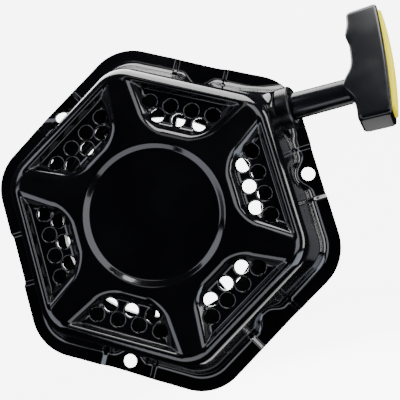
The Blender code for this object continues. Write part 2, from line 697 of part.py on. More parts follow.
def pawl_outline():
    """A pawl with its pivot at the origin and its arm along +x."""
    tip = PAWL_REACH
    points = arc((0, 0), PAWL_EYE_R, math.radians(75), math.radians(285), 10)
    points += [(tip * 0.55, -3.4 * MM), (tip, -1.6 * MM), (tip, 1.4 * MM), (tip * 0.5, 3.0 * MM)]
    return points


def make_pawl(name):
    """An arm with a pivot pin on one face and a cam peg on the other, modelled at its pivot."""
    bm = bmesh.new()
    prism(bm, pawl_outline(), -PAWL_THICKNESS, 0.0)
    pawl = mesh_object(name, bm, PARTS)
    bm = bmesh.new()
    prism(bm, circle(PAWL_PIN_R, 12), -1 * MM, PAWL_PIN_LENGTH)
    join(pawl, mesh_object("pin", bm))
    bm = bmesh.new()
    prism(bm, circle(PEG_R, 10, (PEG_REACH, -0.4 * MM)), -PAWL_THICKNESS - 2.0 * MM, -1 * MM)
    join(pawl, mesh_object("peg", bm))
    return pawl


def pawl_matrix(angle, swing=0.0):
    """Puts a pawl on the reel at its pivot, swung by some angle."""
    turn = Matrix.Rotation(angle + PAWL_REST_TURN - swing, 4, "Z")
    pivot = (PAWL_PIVOT_R * math.cos(angle), PAWL_PIVOT_R * math.sin(angle), PAWL_TOP_Z)
    return Matrix.Translation(pivot) @ turn


def cam_slot(angle):
    """The track that a pawl's peg runs in, as the ratchet guide sees it."""
    width = PEG_R + 0.45 * MM
    path = []
    for i in range(9):
        share = i / 8
        peg = pawl_matrix(angle, PAWL_SWING * share) @ Vector((PEG_REACH, -0.4 * MM, 0))
        path.append((Matrix.Rotation(-GUIDE_TURN * share, 3, "Z") @ peg).to_2d())
    left, right = [], []
    for i, point in enumerate(path):
        ahead = (path[min(i + 1, 8)] - path[max(i - 1, 0)]).normalized()
        side = Vector((-ahead.y, ahead.x)) * width
        left.append(point + side)
        right.append(point - side)
    start = math.atan2((path[0] - path[1]).y, (path[0] - path[1]).x)
    stop = math.atan2((path[8] - path[7]).y, (path[8] - path[7]).x)
    first = arc(path[0], width, start + math.pi / 2, start - math.pi / 2, 6)[1:-1]
    last = arc(path[8], width, stop + math.pi / 2, stop - math.pi / 2, 6)[1:-1]
    outline = [tuple(p) for p in right] + list(last)[::-1] + [tuple(p) for p in reversed(left)] + list(first)[::-1]
    return outline


def make_ratchet_guide():
    """A disc with a hub: it is braked by the post, so its cam slots throw the pawls out."""
    low, high = GUIDE_DISC_Z
    hub_top = POST_END_Z - GAP
    seat = high + 0.4 * MM
    guide = turned("ratchet_guide", [
        (BOLT_SHANK_R + 0.9 * MM, hub_top), (GUIDE_HUB_R, hub_top), (GUIDE_HUB_R, high), (GUIDE_DISC_R, high),
        (GUIDE_DISC_R, low), (BOLT_FLANGE_R + 1.2 * MM, low), (BOLT_FLANGE_R + 1.2 * MM, seat),
        (BOLT_SHANK_R + 0.9 * MM, seat),
    ], PARTS, 40)
    bm = bmesh.new()
    for angle in pawl_angles():
        prism(bm, cam_slot(angle), low - 1 * MM, high + 1 * MM)
    return cut(guide, mesh_object("cam_slots", bm))


def make_friction_spring():
    """An open wire ring on the ratchet guide's hub."""
    reach = GUIDE_HUB_R + CLIP_WIRE_R + GAP
    height = GUIDE_DISC_Z[1] + CLIP_WIRE_R + 0.6 * MM
    turns = [math.radians(20 + 320 * i / 26) for i in range(27)]
    points = [(reach * math.cos(a), reach * math.sin(a), height) for a in turns]
    return tube("friction_spring", points, CLIP_WIRE_R, 1)


def make_pawl_spring(name, angle):
    """A hair spring: a loop beside the pivot with one leg behind the pawl."""
    wire = 0.45 * MM
    loop_r = PAWL_EYE_R + wire + GAP
    height = -PAWL_THICKNESS / 2
    bend = [math.radians(235 - 150 * i / 12) for i in range(13)]
    points = [(loop_r * math.cos(a), loop_r * math.sin(a), height) for a in bend]
    points.append((PAWL_REACH * 0.5, 3.0 * MM + wire + GAP + 0.4 * MM, height))
    spring = tube(name, points, wire, 1)
    return placed(spring, pawl_matrix(angle))


def make_centre_bolt():
    """An M6 flange bolt: hexagon head, flange and shank."""
    low = GUIDE_DISC_Z[0] - 0.8 * MM
    flange = low + BOLT_HEAD - 1.2 * MM
    under = GUIDE_DISC_Z[1] + 0.4 * MM - LOCK_WASHER - 2 * GAP
    bolt = turned("centre_bolt", [
        (0.0, POST_END_Z + POST_THREAD_DEPTH - 2 * MM), (BOLT_SHANK_R, POST_END_Z + POST_THREAD_DEPTH - 2 * MM),
        (BOLT_SHANK_R, under), (BOLT_FLANGE_R, under), (BOLT_FLANGE_R, flange), (0.0, flange),
    ], PARTS, 24)
    bm = bmesh.new()
    corner = BOLT_HEAD_AF / 2 / math.cos(math.pi / 6)
    prism(bm, circle(corner, 6), low, flange + 0.3 * MM)
    return join(bolt, mesh_object("head", bm))


def make_lock_washer():
    high = GUIDE_DISC_Z[1] + 0.4 * MM - GAP
    inner = BOLT_SHANK_R + GAP
    outer = BOLT_FLANGE_R - 0.6 * MM
    low = high - LOCK_WASHER
    return turned("lock_washer", [(inner, high), (outer, high), (outer, low), (inner, low)], PARTS, 24)


def make_thrust_washer():
    high = REEL_BACK_Z - GAP
    low = POST_END_Z
    inner = POST_R + GAP
    outer = POST_R + 3.4 * MM
    return turned("thrust_washer", [(inner, high), (outer, high), (outer, low), (inner, low)], PARTS, 32)


# ---- handle ------------------------------------------------------------------------------------
GRIP_INNER = STEM_END + STEM_LENGTH
GRIP_BACK = GRIP_INNER + GRIP_DEPTH
KNOT_PLACE = GRIP_BACK - INSERT_SEAT - KNOT_R - 0.4 * MM
WASHER_TOP = KNOT_PLACE - KNOT_R * KNOT_SQUASH - GAP
GRIP_MIDDLE = (GRIP_UP - GRIP_DOWN) / 2
GRIP_HALF = (GRIP_UP + GRIP_DOWN) / 2


def finger_side(along):
    """Where the finger side lies at some place along the bar: a shoulder at the stem, then a ridge."""
    shoulder = SHOULDER * math.exp(-(along / SHOULDER_WIDTH) ** 2)
    ridge = RIDGE * math.exp(-((along - RIDGE_PLACE) / RIDGE_WIDTH) ** 2)
    return GRIP_INNER - shoulder - ridge


def grip_outline():
    """The T-bar's outline in the plane of the stem: x along the rope, y along the bar."""
    steps = 30
    points = []
    for i in range(steps + 1):
        along = -GRIP_DOWN + 2 * GRIP_HALF * i / steps
        points.append((finger_side(along), along))
    for i in range(9):
        share = i / 8
        crown = GRIP_CROWN * (1 - (2 * share - 1) ** 2)
        points.append((GRIP_BACK + crown, GRIP_UP - 2 * GRIP_HALF * share))
    return points


def handle_frame():
    return rope_frame() @ Matrix.Rotation(-GRIP_TWIST, 4, "X")


def make_handle_grip():
    bm = bmesh.new()
    prism(bm, grip_outline(), -GRIP_THICKNESS / 2, GRIP_THICKNESS / 2)
    grip = mesh_object("handle_grip", bm, PARTS)
    bevel = grip.modifiers.new("edges", "BEVEL")
    bevel.width = 2.0 * MM
    bevel.segments = 2
    bevel.limit_method = "ANGLE"
    bevel.angle_limit = math.radians(50)
    apply_modifiers(grip)
    swing = Matrix.Rotation(math.pi / 2, 4, "Y")
    top = GRIP_INNER + GRIP_DEPTH / 3
    stem = turned("stem", [(0.0, top), (STEM_TOP_R, top), (STEM_R, STEM_END + 0.8 * MM),
                           (STEM_R - 0.8 * MM, STEM_END), (0.0, STEM_END)], None, 28)
    join(grip, placed(stem, swing))
    chamber = WASHER_TOP - WASHER_THICKNESS - GAP
    bore_r = ROPE_R + 0.7 * MM
    bore = turned("bore", [(0.0, GRIP_BACK + 5 * MM), (KNOT_CHAMBER_R, GRIP_BACK + 5 * MM),
                           (KNOT_CHAMBER_R, chamber), (bore_r, chamber),
                           (bore_r, STEM_END - 2 * MM), (0.0, STEM_END - 2 * MM)], None, 20)
    cut(grip, placed(bore, swing))
    bm = bmesh.new()
    seat = rounded_rectangle(GRIP_HALF - INSERT_MARGIN + GAP, GRIP_THICKNESS / 2 - INSERT_MARGIN + GAP, 3 * MM)
    prism(bm, seat, GRIP_BACK - INSERT_SEAT, GRIP_BACK + 5 * MM, insert_matrix())
    cut(grip, mesh_object("seat", bm))
    return placed(grip, handle_frame())


def insert_matrix():
    """Lays an outline across the back of the grip, long side along the bar."""
    return Matrix(((0, 0, 1, 0), (1, 0, 0, GRIP_MIDDLE), (0, 1, 0, 0), (0, 0, 0, 1)))


def make_handle_insert():
    """The coloured cap on the grip's back, crowned along its length."""
    bm = bmesh.new()
    low = GRIP_BACK - INSERT_SEAT + GAP
    rings = []
    for shrink, rise in ((0.0, 0.0), (0.0, INSERT_SEAT + 0.4 * MM), (0.6 * MM, INSERT_SEAT + 1.1 * MM)):
        outline = rounded_rectangle(GRIP_HALF - INSERT_MARGIN - shrink,
                                    GRIP_THICKNESS / 2 - INSERT_MARGIN - shrink, 3 * MM - shrink)
        crown = [1 - (x / GRIP_HALF) ** 2 for x, _ in outline]
        lift = INSERT_BULGE if rise else 0.0
        rings.append([(x, y, low + rise + lift * c) for (x, y), c in zip(outline, crown)])
    add_loft(bm, rings, insert_matrix())
    return placed(mesh_object("handle_insert", bm, PARTS), handle_frame())


def make_knot_washer():
    inner = ROPE_R + GAP
    outer = KNOT_CHAMBER_R - GAP
    low = WASHER_TOP - WASHER_THICKNESS
    return along_rope("knot_washer", [(inner, WASHER_TOP), (outer, WASHER_TOP), (outer, low), (inner, low)],
                      PARTS, 20)


# ---- assembly ----------------------------------------------------------------------------------
def make_empty(name, place, parent=None):
    empty = bpy.data.objects.new(name, None)
    empty.empty_display_size = 0.01
    PARTS.objects.link(empty)
    empty.location = place
    empty.parent = parent
    return empty


def settle(obj, parent, material, origin=(0.0, 0.0, 0.0)):
    """Give an object its origin, its parent and its finish."""
    origin = Vector(origin)
    obj.data.transform(Matrix.Translation(-origin))
    obj.parent = parent
    obj.location = origin
    obj.data.materials.clear()
    obj.data.materials.append(material)
    obj.data.shade_smooth()
    obj.data.set_sharp_from_angle(angle=math.radians(30))


def main():
    clear_scene()
    black_paint = make_material("gloss_black_paint", (0.01, 0.01, 0.012), 0.18, 0.0)
    black_nylon = make_material("black_nylon", (0.03, 0.03, 0.033), 0.45, 0.0)
    grip_plastic = make_material("gloss_black_plastic", (0.02, 0.02, 0.024), 0.22, 0.0)
    yellow = make_material("yellow_plastic", (0.85, 0.95, 0.0), 0.3, 0.0)
    steel = make_material("zinc_plated_steel", (0.62, 0.63, 0.65), 0.3, 1.0)
    spring_steel = make_material("blued_spring_steel", (0.12, 0.13, 0.16), 0.3, 1.0)
    rope_fibre = make_material("white_braid", (0.85, 0.85, 0.8), 0.85, 0.0)

    bench = make_empty("bench", (0, 0, 0))
    bench.rotation_euler = (math.pi / 2, 0, 0)
    rope_line = (SEAT_X, SEAT_Y, SEAT_Z)

    settle(make_cover(), bench, black_paint)
    settle(make_rope_guide(), bench, black_nylon, rope_line)
    settle(make_guide_clip(), bench, steel, rope_line)
    settle(make_centre_post(), bench, steel)
    settle(make_centre_bolt(), bench, steel)
    settle(make_lock_washer(), bench, steel)
    settle(make_thrust_washer(), bench, steel)
    settle(tube("rope_run", rope_run_points(), ROPE_R), bench, rope_fibre)
    settle(make_reel(), bench, black_nylon)
    settle(make_rope_coil(), bench, rope_fibre)
    settle(make_reel_knot(), bench, rope_fibre)
    settle(make_recoil_spring(), bench, spring_steel)
    settle(make_spring_pin(), bench, steel)
    settle(make_ratchet_guide(), bench, black_nylon)
    settle(make_friction_spring(), bench, spring_steel)
    for number, angle in enumerate(pawl_angles(), 1):
        place = pawl_matrix(angle)
        pawl = placed(make_pawl(f"pawl_{number}"), place)
        settle(pawl, bench, steel, place.translation)
        settle(make_pawl_spring(f"pawl_spring_{number}", angle), bench, spring_steel, place.translation)
    settle(make_rope_end(), bench, rope_fibre, rope_line)
    settle(make_knot_washer(), bench, steel, rope_line)
    settle(make_handle_grip(), bench, grip_plastic, rope_line)
    settle(make_handle_insert(), bench, yellow, rope_line)


main()
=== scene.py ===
# %% [markdown]
# # A recoil starter, dressed over its working model
# A recoil starter is the pull-cord unit on the side of a small engine. The working model (every
# body, joint and fit) is loaded as a fixed frame. This lesson makes the skin over it: a pressed
# steel cover in gloss black, a moulded reel and handle, a braided rope and small zinc hardware.

# %% The frame
import math

import bmesh
import bpy
import numpy as np
from mathutils import Matrix, Vector
from mathutils.geometry import delaunay_2d_cdt


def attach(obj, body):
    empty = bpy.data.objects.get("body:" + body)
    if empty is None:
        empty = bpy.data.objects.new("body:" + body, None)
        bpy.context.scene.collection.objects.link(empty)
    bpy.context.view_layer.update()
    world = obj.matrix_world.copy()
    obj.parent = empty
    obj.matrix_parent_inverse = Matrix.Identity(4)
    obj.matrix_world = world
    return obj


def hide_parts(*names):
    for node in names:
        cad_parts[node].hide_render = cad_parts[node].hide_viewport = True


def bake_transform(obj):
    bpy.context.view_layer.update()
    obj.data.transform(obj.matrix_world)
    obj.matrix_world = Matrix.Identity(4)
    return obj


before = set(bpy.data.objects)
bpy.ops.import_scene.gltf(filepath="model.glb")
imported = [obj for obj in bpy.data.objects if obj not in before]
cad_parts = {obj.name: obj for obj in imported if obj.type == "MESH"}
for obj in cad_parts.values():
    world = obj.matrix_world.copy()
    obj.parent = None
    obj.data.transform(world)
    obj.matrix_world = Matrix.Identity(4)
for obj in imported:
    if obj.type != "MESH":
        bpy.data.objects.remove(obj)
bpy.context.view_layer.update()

# %% [markdown]
# ## Where things are
# It is easier to draw the starter lying on a bench, cover up, and to stand it up afterwards. So
# sizes here are millimetres on that bench (x right, y up the page, z out of the cover), and one
# matrix, STAND, turns millimetres on the bench into metres in the frame.

# %% Bench and rope line
MM = 0.001
STAND = Matrix.Rotation(math.pi / 2, 4, "X") @ Matrix.Scale(MM, 4)
SIXTH = math.pi / 3

SEAT = Vector((78.5, 36.3, 15.7))
ROPE_TURN = Matrix.Rotation(math.radians(-7.0), 4, "Z") @ Matrix.Rotation(math.radians(-21.5), 4, "Y")
ROPE_LINE = Matrix.Translation(SEAT) @ ROPE_TURN
GRIP_TWIST = Matrix.Rotation(math.radians(-23.0), 4, "X")
TO_X = Matrix.Rotation(math.pi / 2, 4, "Y")
print("the rope leaves along", tuple(round(v, 3) for v in (ROPE_TURN @ Vector((1, 0, 0)))))

# %% [markdown]
# ## The camera
# A camera is an object like any other. This one looks at the cover from slightly left of square,
# rolled a little, which shows the right-hand and lower walls of the pressing. It comes early, so
# that every later step can be judged through it.

# %% Camera
camera_data = bpy.data.cameras.new("camera")
camera_data.lens = 47.01
camera_data.sensor_width = 36.0
camera = bpy.data.objects.new("camera", camera_data)
camera.location = (0.0442, -0.2975, -0.0227)
camera.rotation_euler = [math.radians(a) for a in (95.23, 16.25, 5.82)]
camera_data.clip_start = 0.01
bpy.context.scene.collection.objects.link(camera)
bpy.context.scene.camera = camera
print("camera", camera_data.lens, "mm")

# %% [markdown]
# ## Shader sums as Python
# A finish is a small recipe of sums: dust here, a little more roughness there. Wiring Math nodes by
# hand hides the recipe, so one class wraps a socket and turns + and * into Math nodes. Another
# holds the material and adds any other kind of node through one method.

# %% Sockets and finishes
class Wire:
    """One output socket. Arithmetic on it adds Math nodes."""

    def __init__(self, finish, socket):
        self.finish, self.socket = finish, socket

    def _math(self, operation, a, b=None):
        return self.finish.node("ShaderNodeMath", {"operation": operation}, {0: a, 1: b})

    def __add__(self, other):
        return self._math("ADD", self, other)

    def __mul__(self, other):
        return self._math("MULTIPLY", self, other)

    __radd__ = __add__
    __rmul__ = __mul__


class Finish:
    """A node material that is being made, with its Principled shader."""

    def __init__(self, name, roughness, metallic=0.0, **shader):
        self.material = bpy.data.materials.new(name)
        self.material.use_nodes = True
        self.tree = self.material.node_tree
        self.shader = self.tree.nodes["Principled BSDF"]
        self.shader.inputs["Roughness"].default_value = roughness
        self.shader.inputs["Metallic"].default_value = metallic
        for socket, value in shader.items():
            self.shader.inputs[socket.replace("_", " ")].default_value = value

    def node(self, kind, settings, sockets, out=0):
        """Adds a node: its settings first, then values or wires on its sockets."""
        node = self.tree.nodes.new(kind)
        for name, value in settings.items():
            setattr(node, name, value)
        for key, value in sockets.items():
            self.feed(node.inputs[key], value)
        return Wire(self, node.outputs[out])

    def feed(self, socket, value):
        if isinstance(value, Wire):
            self.tree.links.new(value.socket, socket)
        elif value is not None:
            socket.default_value = value

    def place(self):
        """Where a point is on the object, in metres."""
        return self.node("ShaderNodeTexCoord", {}, {}, out=3)

    def noise(self, scale, detail=2.0, rough=0.5, place=None):
        """Cloudy noise: scale counts patches to a metre."""
        return self.node("ShaderNodeTexNoise", {}, {
            "Vector": place or self.place(), "Scale": scale, "Detail": detail, "Roughness": rough})

    def ramp(self, wire, low, high):
        """0 below low, 1 above high."""
        return self.node("ShaderNodeMapRange", {}, {0: wire, 1: low, 2: high})

    def blend(self, share, a, b):
        """A colour between a and b."""
        ends = {0: share, 6: (*a, 1), 7: (*b, 1)}
        return self.node("ShaderNodeMix", {"data_type": "RGBA"}, ends, out=2)

    def relief(self, height, depth, strength=1.0):
        """Feeds a Bump node: depth in metres."""
        bump = self.node("ShaderNodeBump", {}, {
            "Height": height, "Distance": depth, "Strength": strength})
        self.feed(self.shader.inputs["Normal"], bump)

    def colour(self, wire):
        self.feed(self.shader.inputs["Base Color"], wire)

    def roughness(self, wire):
        self.feed(self.shader.inputs["Roughness"], wire)


print("shader tools ready")

# %% [markdown]
# ## Gloss black enamel
# The cover is dipped and baked, so the paint is thick and almost a mirror. Real enamel is never
# quite flat: it has an orange-peel ripple about 2 mm across, fine dust nibs, and duller patches
# where hands and rags have been. Each of those is one noise on the roughness or the bump.

# %% Enamel
def enamel():
    f = Finish("gloss_black_enamel", 0.16, Coat_Weight=0.35, Coat_Roughness=0.04, IOR=1.5)
    peel = f.noise(260.0, 0.0)
    nibs = f.ramp(f.noise(2600.0, 1.0), 0.72, 0.8)
    haze = f.ramp(f.noise(26.0, 4.0), 0.42, 0.72)
    f.colour(f.blend(haze * 0.5 + nibs * 0.4, (0.002, 0.002, 0.003), (0.007, 0.007, 0.009)))
    f.roughness(0.1 + haze * 0.05 + nibs * 0.15)
    f.relief(peel, 0.000012, 0.15)
    return f.material


ENAMEL = enamel()
print("made", ENAMEL.name)

# %% [markdown]
# ## Moulded plastics
# The reel and guide are black nylon with a fine spark-eroded grain. The grip is the same colour but
# polished, so its broad faces mirror the light. The insert in its back is a satin yellow, and a
# little emission keeps its colour up on the side that faces away from the lamps.

# %% Plastics
def moulded(name, colour, worn, roughness, grain, depth):
    f = Finish(name, roughness, IOR=1.46)
    sink = f.noise(60.0, 3.0)
    fine = f.noise(grain, 2.0)
    rubbed = f.ramp(f.noise(38.0, 5.0, 0.65), 0.5, 0.75)
    f.colour(f.blend(rubbed * 0.6, colour, worn))
    f.roughness(roughness + sink * 0.06 + rubbed * 0.07)
    f.relief(fine, depth, 0.2)
    return f.material


NYLON = moulded("black_nylon", (0.012, 0.012, 0.013), (0.028, 0.028, 0.03), 0.36, 2400.0, 0.00003)
GUIDE_PLASTIC = moulded("satin_black_nylon", (0.008, 0.008, 0.009), (0.018, 0.018, 0.02),
                        0.24, 1800.0, 0.00001)
GRIP = moulded("polished_black_plastic", (0.006, 0.007, 0.009), (0.01, 0.011, 0.014),
               0.16, 900.0, 0.000004)
YELLOW = moulded("yellow_plastic", (1.0, 0.88, 0.0), (0.95, 0.8, 0.0), 0.5, 900.0, 0.000005)
yellow = YELLOW.node_tree.nodes["Principled BSDF"].inputs
yellow["Specular IOR Level"].default_value = 0.15
# Painted light: the insert glows a little, so its shaded side still shows bright yellow.
yellow["Emission Color"].default_value = (1.0, 0.8, 0.0, 1.0)
yellow["Emission Strength"].default_value = 0.4
print("made the plastics")

# %% [markdown]
# ## Metals
# Zinc plate is bright with a cold tint and cloudy spangles; spring steel is blued in the oven.
# Both are the same recipe with other colours.

# %% Metals
def plated(name, bright, dull, roughness):
    f = Finish(name, roughness, 1.0)
    cloud = f.ramp(f.noise(190.0, 3.0), 0.35, 0.7)
    rubbed = f.noise(1500.0, 2.0)
    f.colour(f.blend(cloud, bright, dull))
    f.roughness(roughness + cloud * 0.1 + rubbed * 0.08)
    f.relief(rubbed, 0.00001, 0.4)
    return f.material


ZINC = plated("bright_zinc", (0.72, 0.74, 0.78), (0.52, 0.54, 0.58), 0.24)
BLUED = plated("blued_steel", (0.1, 0.12, 0.18), (0.2, 0.17, 0.14), 0.26)
print("made the metals")

# %% [markdown]
# ## Rope fibre
# The braid's strands are modelled, so the finish only adds fibres: fine noise, a soft sheen
# and a warm tint low in the clouds.

# %% Rope fibre
def rope_fibre():
    f = Finish("white_braid", 0.8, Sheen_Weight=0.3, Sheen_Roughness=0.5)
    fibre = f.noise(2200.0, 3.0, 0.7)
    grime = f.ramp(f.noise(90.0, 4.0), 0.5, 0.8)
    f.colour(f.blend(grime * 0.5 + fibre * 0.2, (0.86, 0.87, 0.84), (0.6, 0.58, 0.5)))
    f.roughness(0.7 + fibre * 0.2)
    f.relief(fibre, 0.00008, 0.7)
    return f.material


ROPE = rope_fibre()
print("made", ROPE.name)

# %% [markdown]
# ## Making meshes
# Nearly every piece below is drawn as points and faces. These helpers make the object, turn it from
# bench millimetres into the frame, smooth it, cut it, and join it to the body that carries it and
# the node that it stands for.

# %% Helpers for pieces
def build(name, points, faces, place=None):
    """An object from points (bench millimetres) and faces."""
    mesh = bpy.data.meshes.new(name)
    mesh.from_pydata([tuple(p) for p in points], [], faces)
    mesh.transform(STAND @ (place or Matrix.Identity(4)))
    piece = bpy.data.objects.new(name, mesh)
    bpy.context.scene.collection.objects.link(piece)
    return piece


def side_faces(count, rings):
    """Quads between neighbouring rings of count points."""
    return [(i * count + j, i * count + (j + 1) % count,
             (i + 1) * count + (j + 1) % count, (i + 1) * count + j)
            for i in range(rings - 1) for j in range(count)]


def tidy(piece, sharp=None):
    """Closed seams, faces out, smooth shading."""
    bm = bmesh.new()
    bm.from_mesh(piece.data)
    bmesh.ops.remove_doubles(bm, verts=bm.verts, dist=0.000001)
    bmesh.ops.recalc_face_normals(bm, faces=bm.faces)
    bm.to_mesh(piece.data)
    bm.free()
    piece.data.shade_smooth()
    if sharp:
        piece.data.set_sharp_from_angle(angle=math.radians(sharp))
    return piece


def bake_modifiers(piece):
    """Replaces a piece's mesh with what its modifiers make of it."""
    bpy.context.view_layer.update()
    graph = bpy.context.evaluated_depsgraph_get()
    mesh = bpy.data.meshes.new_from_object(piece.evaluated_get(graph))
    piece.modifiers.clear()
    piece.data = mesh
    return piece


def carve(piece, tool, operation="DIFFERENCE"):
    boolean = piece.modifiers.new(operation, "BOOLEAN")
    boolean.operation = operation
    boolean.object = tool
    bake_modifiers(piece)
    bpy.data.objects.remove(tool)
    return piece


def join_pieces(a, b):
    """Two loose pieces as one object."""
    bm = bmesh.new()
    bm.from_mesh(a.data)
    bm.from_mesh(b.data)
    bm.to_mesh(a.data)
    bm.free()
    bpy.data.objects.remove(b)
    return a


def soften(piece, width, segments=2, angle=40):
    """Rounds the edges, and keeps flat faces flat under smooth shading."""
    bevel = piece.modifiers.new("edges", "BEVEL")
    bevel.width = width * MM
    bevel.segments = segments
    bevel.limit_method = "ANGLE"
    bevel.angle_limit = math.radians(angle)
    bevel.harden_normals = True
    piece.data.shade_smooth()
    return bake_modifiers(piece)


def hand_in(piece, body, material, slot, *nodes):
    """The piece rides on a body, wears a finish, and stands for CAD nodes."""
    piece.data.materials.clear()
    piece.data.materials.append(material)
    if body:
        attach(piece, body)
    if nodes:
        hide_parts(*nodes)
    print(piece.name, len(piece.data.polygons), "faces")
    return piece


# %% [markdown]
# ## Round corners and turned pieces
# A corner is drawn once as a sharp point and rounded by a helper, so an outline stays a short list.
# A turned piece is such an outline spun about its axis. The Screw modifier would do it too, but
# spinning the points here lets the same profile go straight onto the tilted rope line.

# %% Outlines, lathe, plate
def arc(centre, radius, start, end, steps):
    turns = [math.radians(start + (end - start) * i / steps) for i in range(steps + 1)]
    return [(centre[0] + radius * math.cos(a), centre[1] + radius * math.sin(a)) for a in turns]


def circle(centre, radius, steps):
    return arc(centre, radius, 0, 360, steps)[:-1]


def divided(a, b, count):
    """Evenly spaced points from a up to, but not with, b."""
    return [(a[0] + (b[0] - a[0]) * i / count, a[1] + (b[1] - a[1]) * i / count)
            for i in range(count)]


def rounded(corners, radius, steps=4):
    """A closed outline with each corner rounded; radius may be a list, one for each corner."""
    radii = radius if isinstance(radius, (list, tuple)) else [radius] * len(corners)
    outline = []
    for i, corner in enumerate(corners):
        here = Vector(corner)
        back = Vector(corners[i - 1]) - here
        ahead = Vector(corners[(i + 1) % len(corners)]) - here
        if radii[i] <= 0:
            outline.append(tuple(here))
            continue
        half = back.angle(ahead) / 2
        reach = min(radii[i] / math.tan(half), 0.48 * back.length, 0.48 * ahead.length)
        start, end = here + back.normalized() * reach, here + ahead.normalized() * reach
        for j in range(steps + 1):
            t = j / steps
            outline.append(tuple(start * (1 - t) ** 2 + here * 2 * t * (1 - t) + end * t ** 2))
    return outline


def lathe(name, profile, steps, place=None):
    """Spins a closed profile of (radius, height) about its own z axis."""
    points, faces = [], []
    count = len(profile)
    for i in range(steps):
        turn = math.tau * i / steps
        points += [(r * math.cos(turn), r * math.sin(turn), z) for r, z in profile]
        for j in range(count):
            k = (j + 1) % count
            a, b = i * count, ((i + 1) % steps) * count
            faces.append((a + j, b + j, b + k, a + k))
    return tidy(build(name, points, faces, place))


def lathe_open(name, profile, steps, place):
    """A turned piece whose profile starts and ends on its axis."""
    points = [(0.0, 0.0, profile[0][1]), (0.0, 0.0, profile[-1][1])]
    inner = profile[1:-1]
    count = len(inner)
    faces = []
    for i in range(steps):
        turn = math.tau * i / steps
        points += [(r * math.cos(turn), r * math.sin(turn), z) for r, z in inner]
        a, b = 2 + i * count, 2 + ((i + 1) % steps) * count
        faces += [(a + j, b + j, b + j + 1, a + j + 1) for j in range(count - 1)]
        faces += [(0, b, a), (1, a + count - 1, b + count - 1)]
    return build(name, points, faces, place)


def plate(name, outline, low, high, place=None):
    """A flat outline with some thickness."""
    count = len(outline)
    points = [(x, y, low) for x, y in outline] + [(x, y, high) for x, y in outline]
    faces = [tuple(reversed(range(count))), tuple(range(count, 2 * count))]
    faces += [(i, (i + 1) % count, count + (i + 1) % count, count + i) for i in range(count)]
    return tidy(build(name, points, faces, place), 30)


print("outline tools ready")

# %% [markdown]
# ## The pressed cover, step 1: a distance recipe
# A pressing has no sharp corners: every wall runs into the next through a fillet, and those fillets
# catch nearly all of its highlights. Boxes and bevels would make that awkward. Here each wall is
# a distance, and two distances join through a rounded maximum, which is a fillet of known radius.

# %% Cover sizes and distances
HEIGHT, SHEET = 40.0, 1.5
FOOT_APOTHEM, TOP_APOTHEM, WALL_TOP = 82.0, 70.1, 36.0
WALL_SLOPE = (FOOT_APOTHEM - TOP_APOTHEM) / WALL_TOP
RIM_APOTHEM, RIM_CORNER = 90.3, 28.0
PAD_HALF, PAD_RAMP, PAD_STEP = 12.8, 3.4, 2.5
BOLT_CIRCLE, BOLT_HOLE = 84.3, 4.0
SCALLOP_R, SCALLOP_DRAFT = 8.5, 0.09
POCKET_FLOOR = HEIGHT - 5.0
POCKET_IN, POCKET_OUT = 42.0, 64.0
POCKET_HALF, POCKET_FLARE, FLARE_COS = 14.5, 0.682, 0.826
RECESS_R, RECESS_DEPTH = 33.0, 2.5
RAIL_R = 5.6
VENT_R, VENT_PITCH = 3.5, 11.2
VENT_ROWS = ((50.0, 3), (56.2, 4))
LOUVRE_HEIGHTS, LOUVRE_RISE = (11.5, 18.0, 24.5), 0.95
LOUVRE_CENTRE, LOUVRE_HALF = 19.0, 8.2
GUIDE_HOLE = 7.9


def round_max(a, b, radius):
    """The larger of two distances, with a fillet where they cross."""
    both = np.hypot(np.maximum(a + radius, 0), np.maximum(b + radius, 0))
    return np.minimum(np.maximum(a, b), -radius) + both


def round_min(a, b, radius):
    return -round_max(-a, -b, radius)


def to_flat(x, y):
    """Each point in the coordinates of its nearest flat: outwards, and along the flat."""
    turn = np.arctan2(y, x)
    turn = turn - np.round(turn / SIXTH) * SIXTH
    reach = np.hypot(x, y)
    return reach * np.cos(turn), reach * np.sin(turn)


def hexagon(out, along, apothem, corner):
    """Distance to a round-cornered hexagon."""
    reach = apothem - corner
    past = np.abs(along) - reach * math.tan(math.radians(30))
    return np.where(past > 0, np.hypot(out - reach, past) - corner, out - apothem)


def pocket(out, along, z):
    """A vented pocket: sloped on three sides, steep along the rail, with a flat floor."""
    rise = z - POCKET_FLOOR
    side = (np.abs(along) - POCKET_HALF - POCKET_FLARE * (out - POCKET_IN)) * FLARE_COS
    sloped = (round_max(POCKET_IN - out, side, 7.0) + 4.3 - rise) * 0.707
    steep = (out - POCKET_OUT + 1.5 - 0.3 * rise) * 0.958
    return round_max(round_max(sloped, steep, 0.8), -rise, 1.0)


def recess(reach, z):
    """The shallow round dish in the middle."""
    wall = (reach - RECESS_R - 1.4 * (z - HEIGHT + RECESS_DEPTH)) * 0.581
    return round_max(wall, HEIGHT - RECESS_DEPTH - z, 0.5)


def boss(x, y, z):
    """The seat of the rope guide, square to the rope and open downwards."""
    turn = np.array(ROPE_TURN.to_3x3())
    s, b, c = ((x - SEAT.x) * turn[0, i] + (y - SEAT.y) * turn[1, i] + (z - SEAT.z) * turn[2, i]
               for i in range(3))
    half = 13.2 - 0.206 * s
    sides = np.abs(b) - half + 0.28 * (c + 8.0)
    return round_max(round_max(sides * 0.95, c - half, 6.0), s, 1.8)


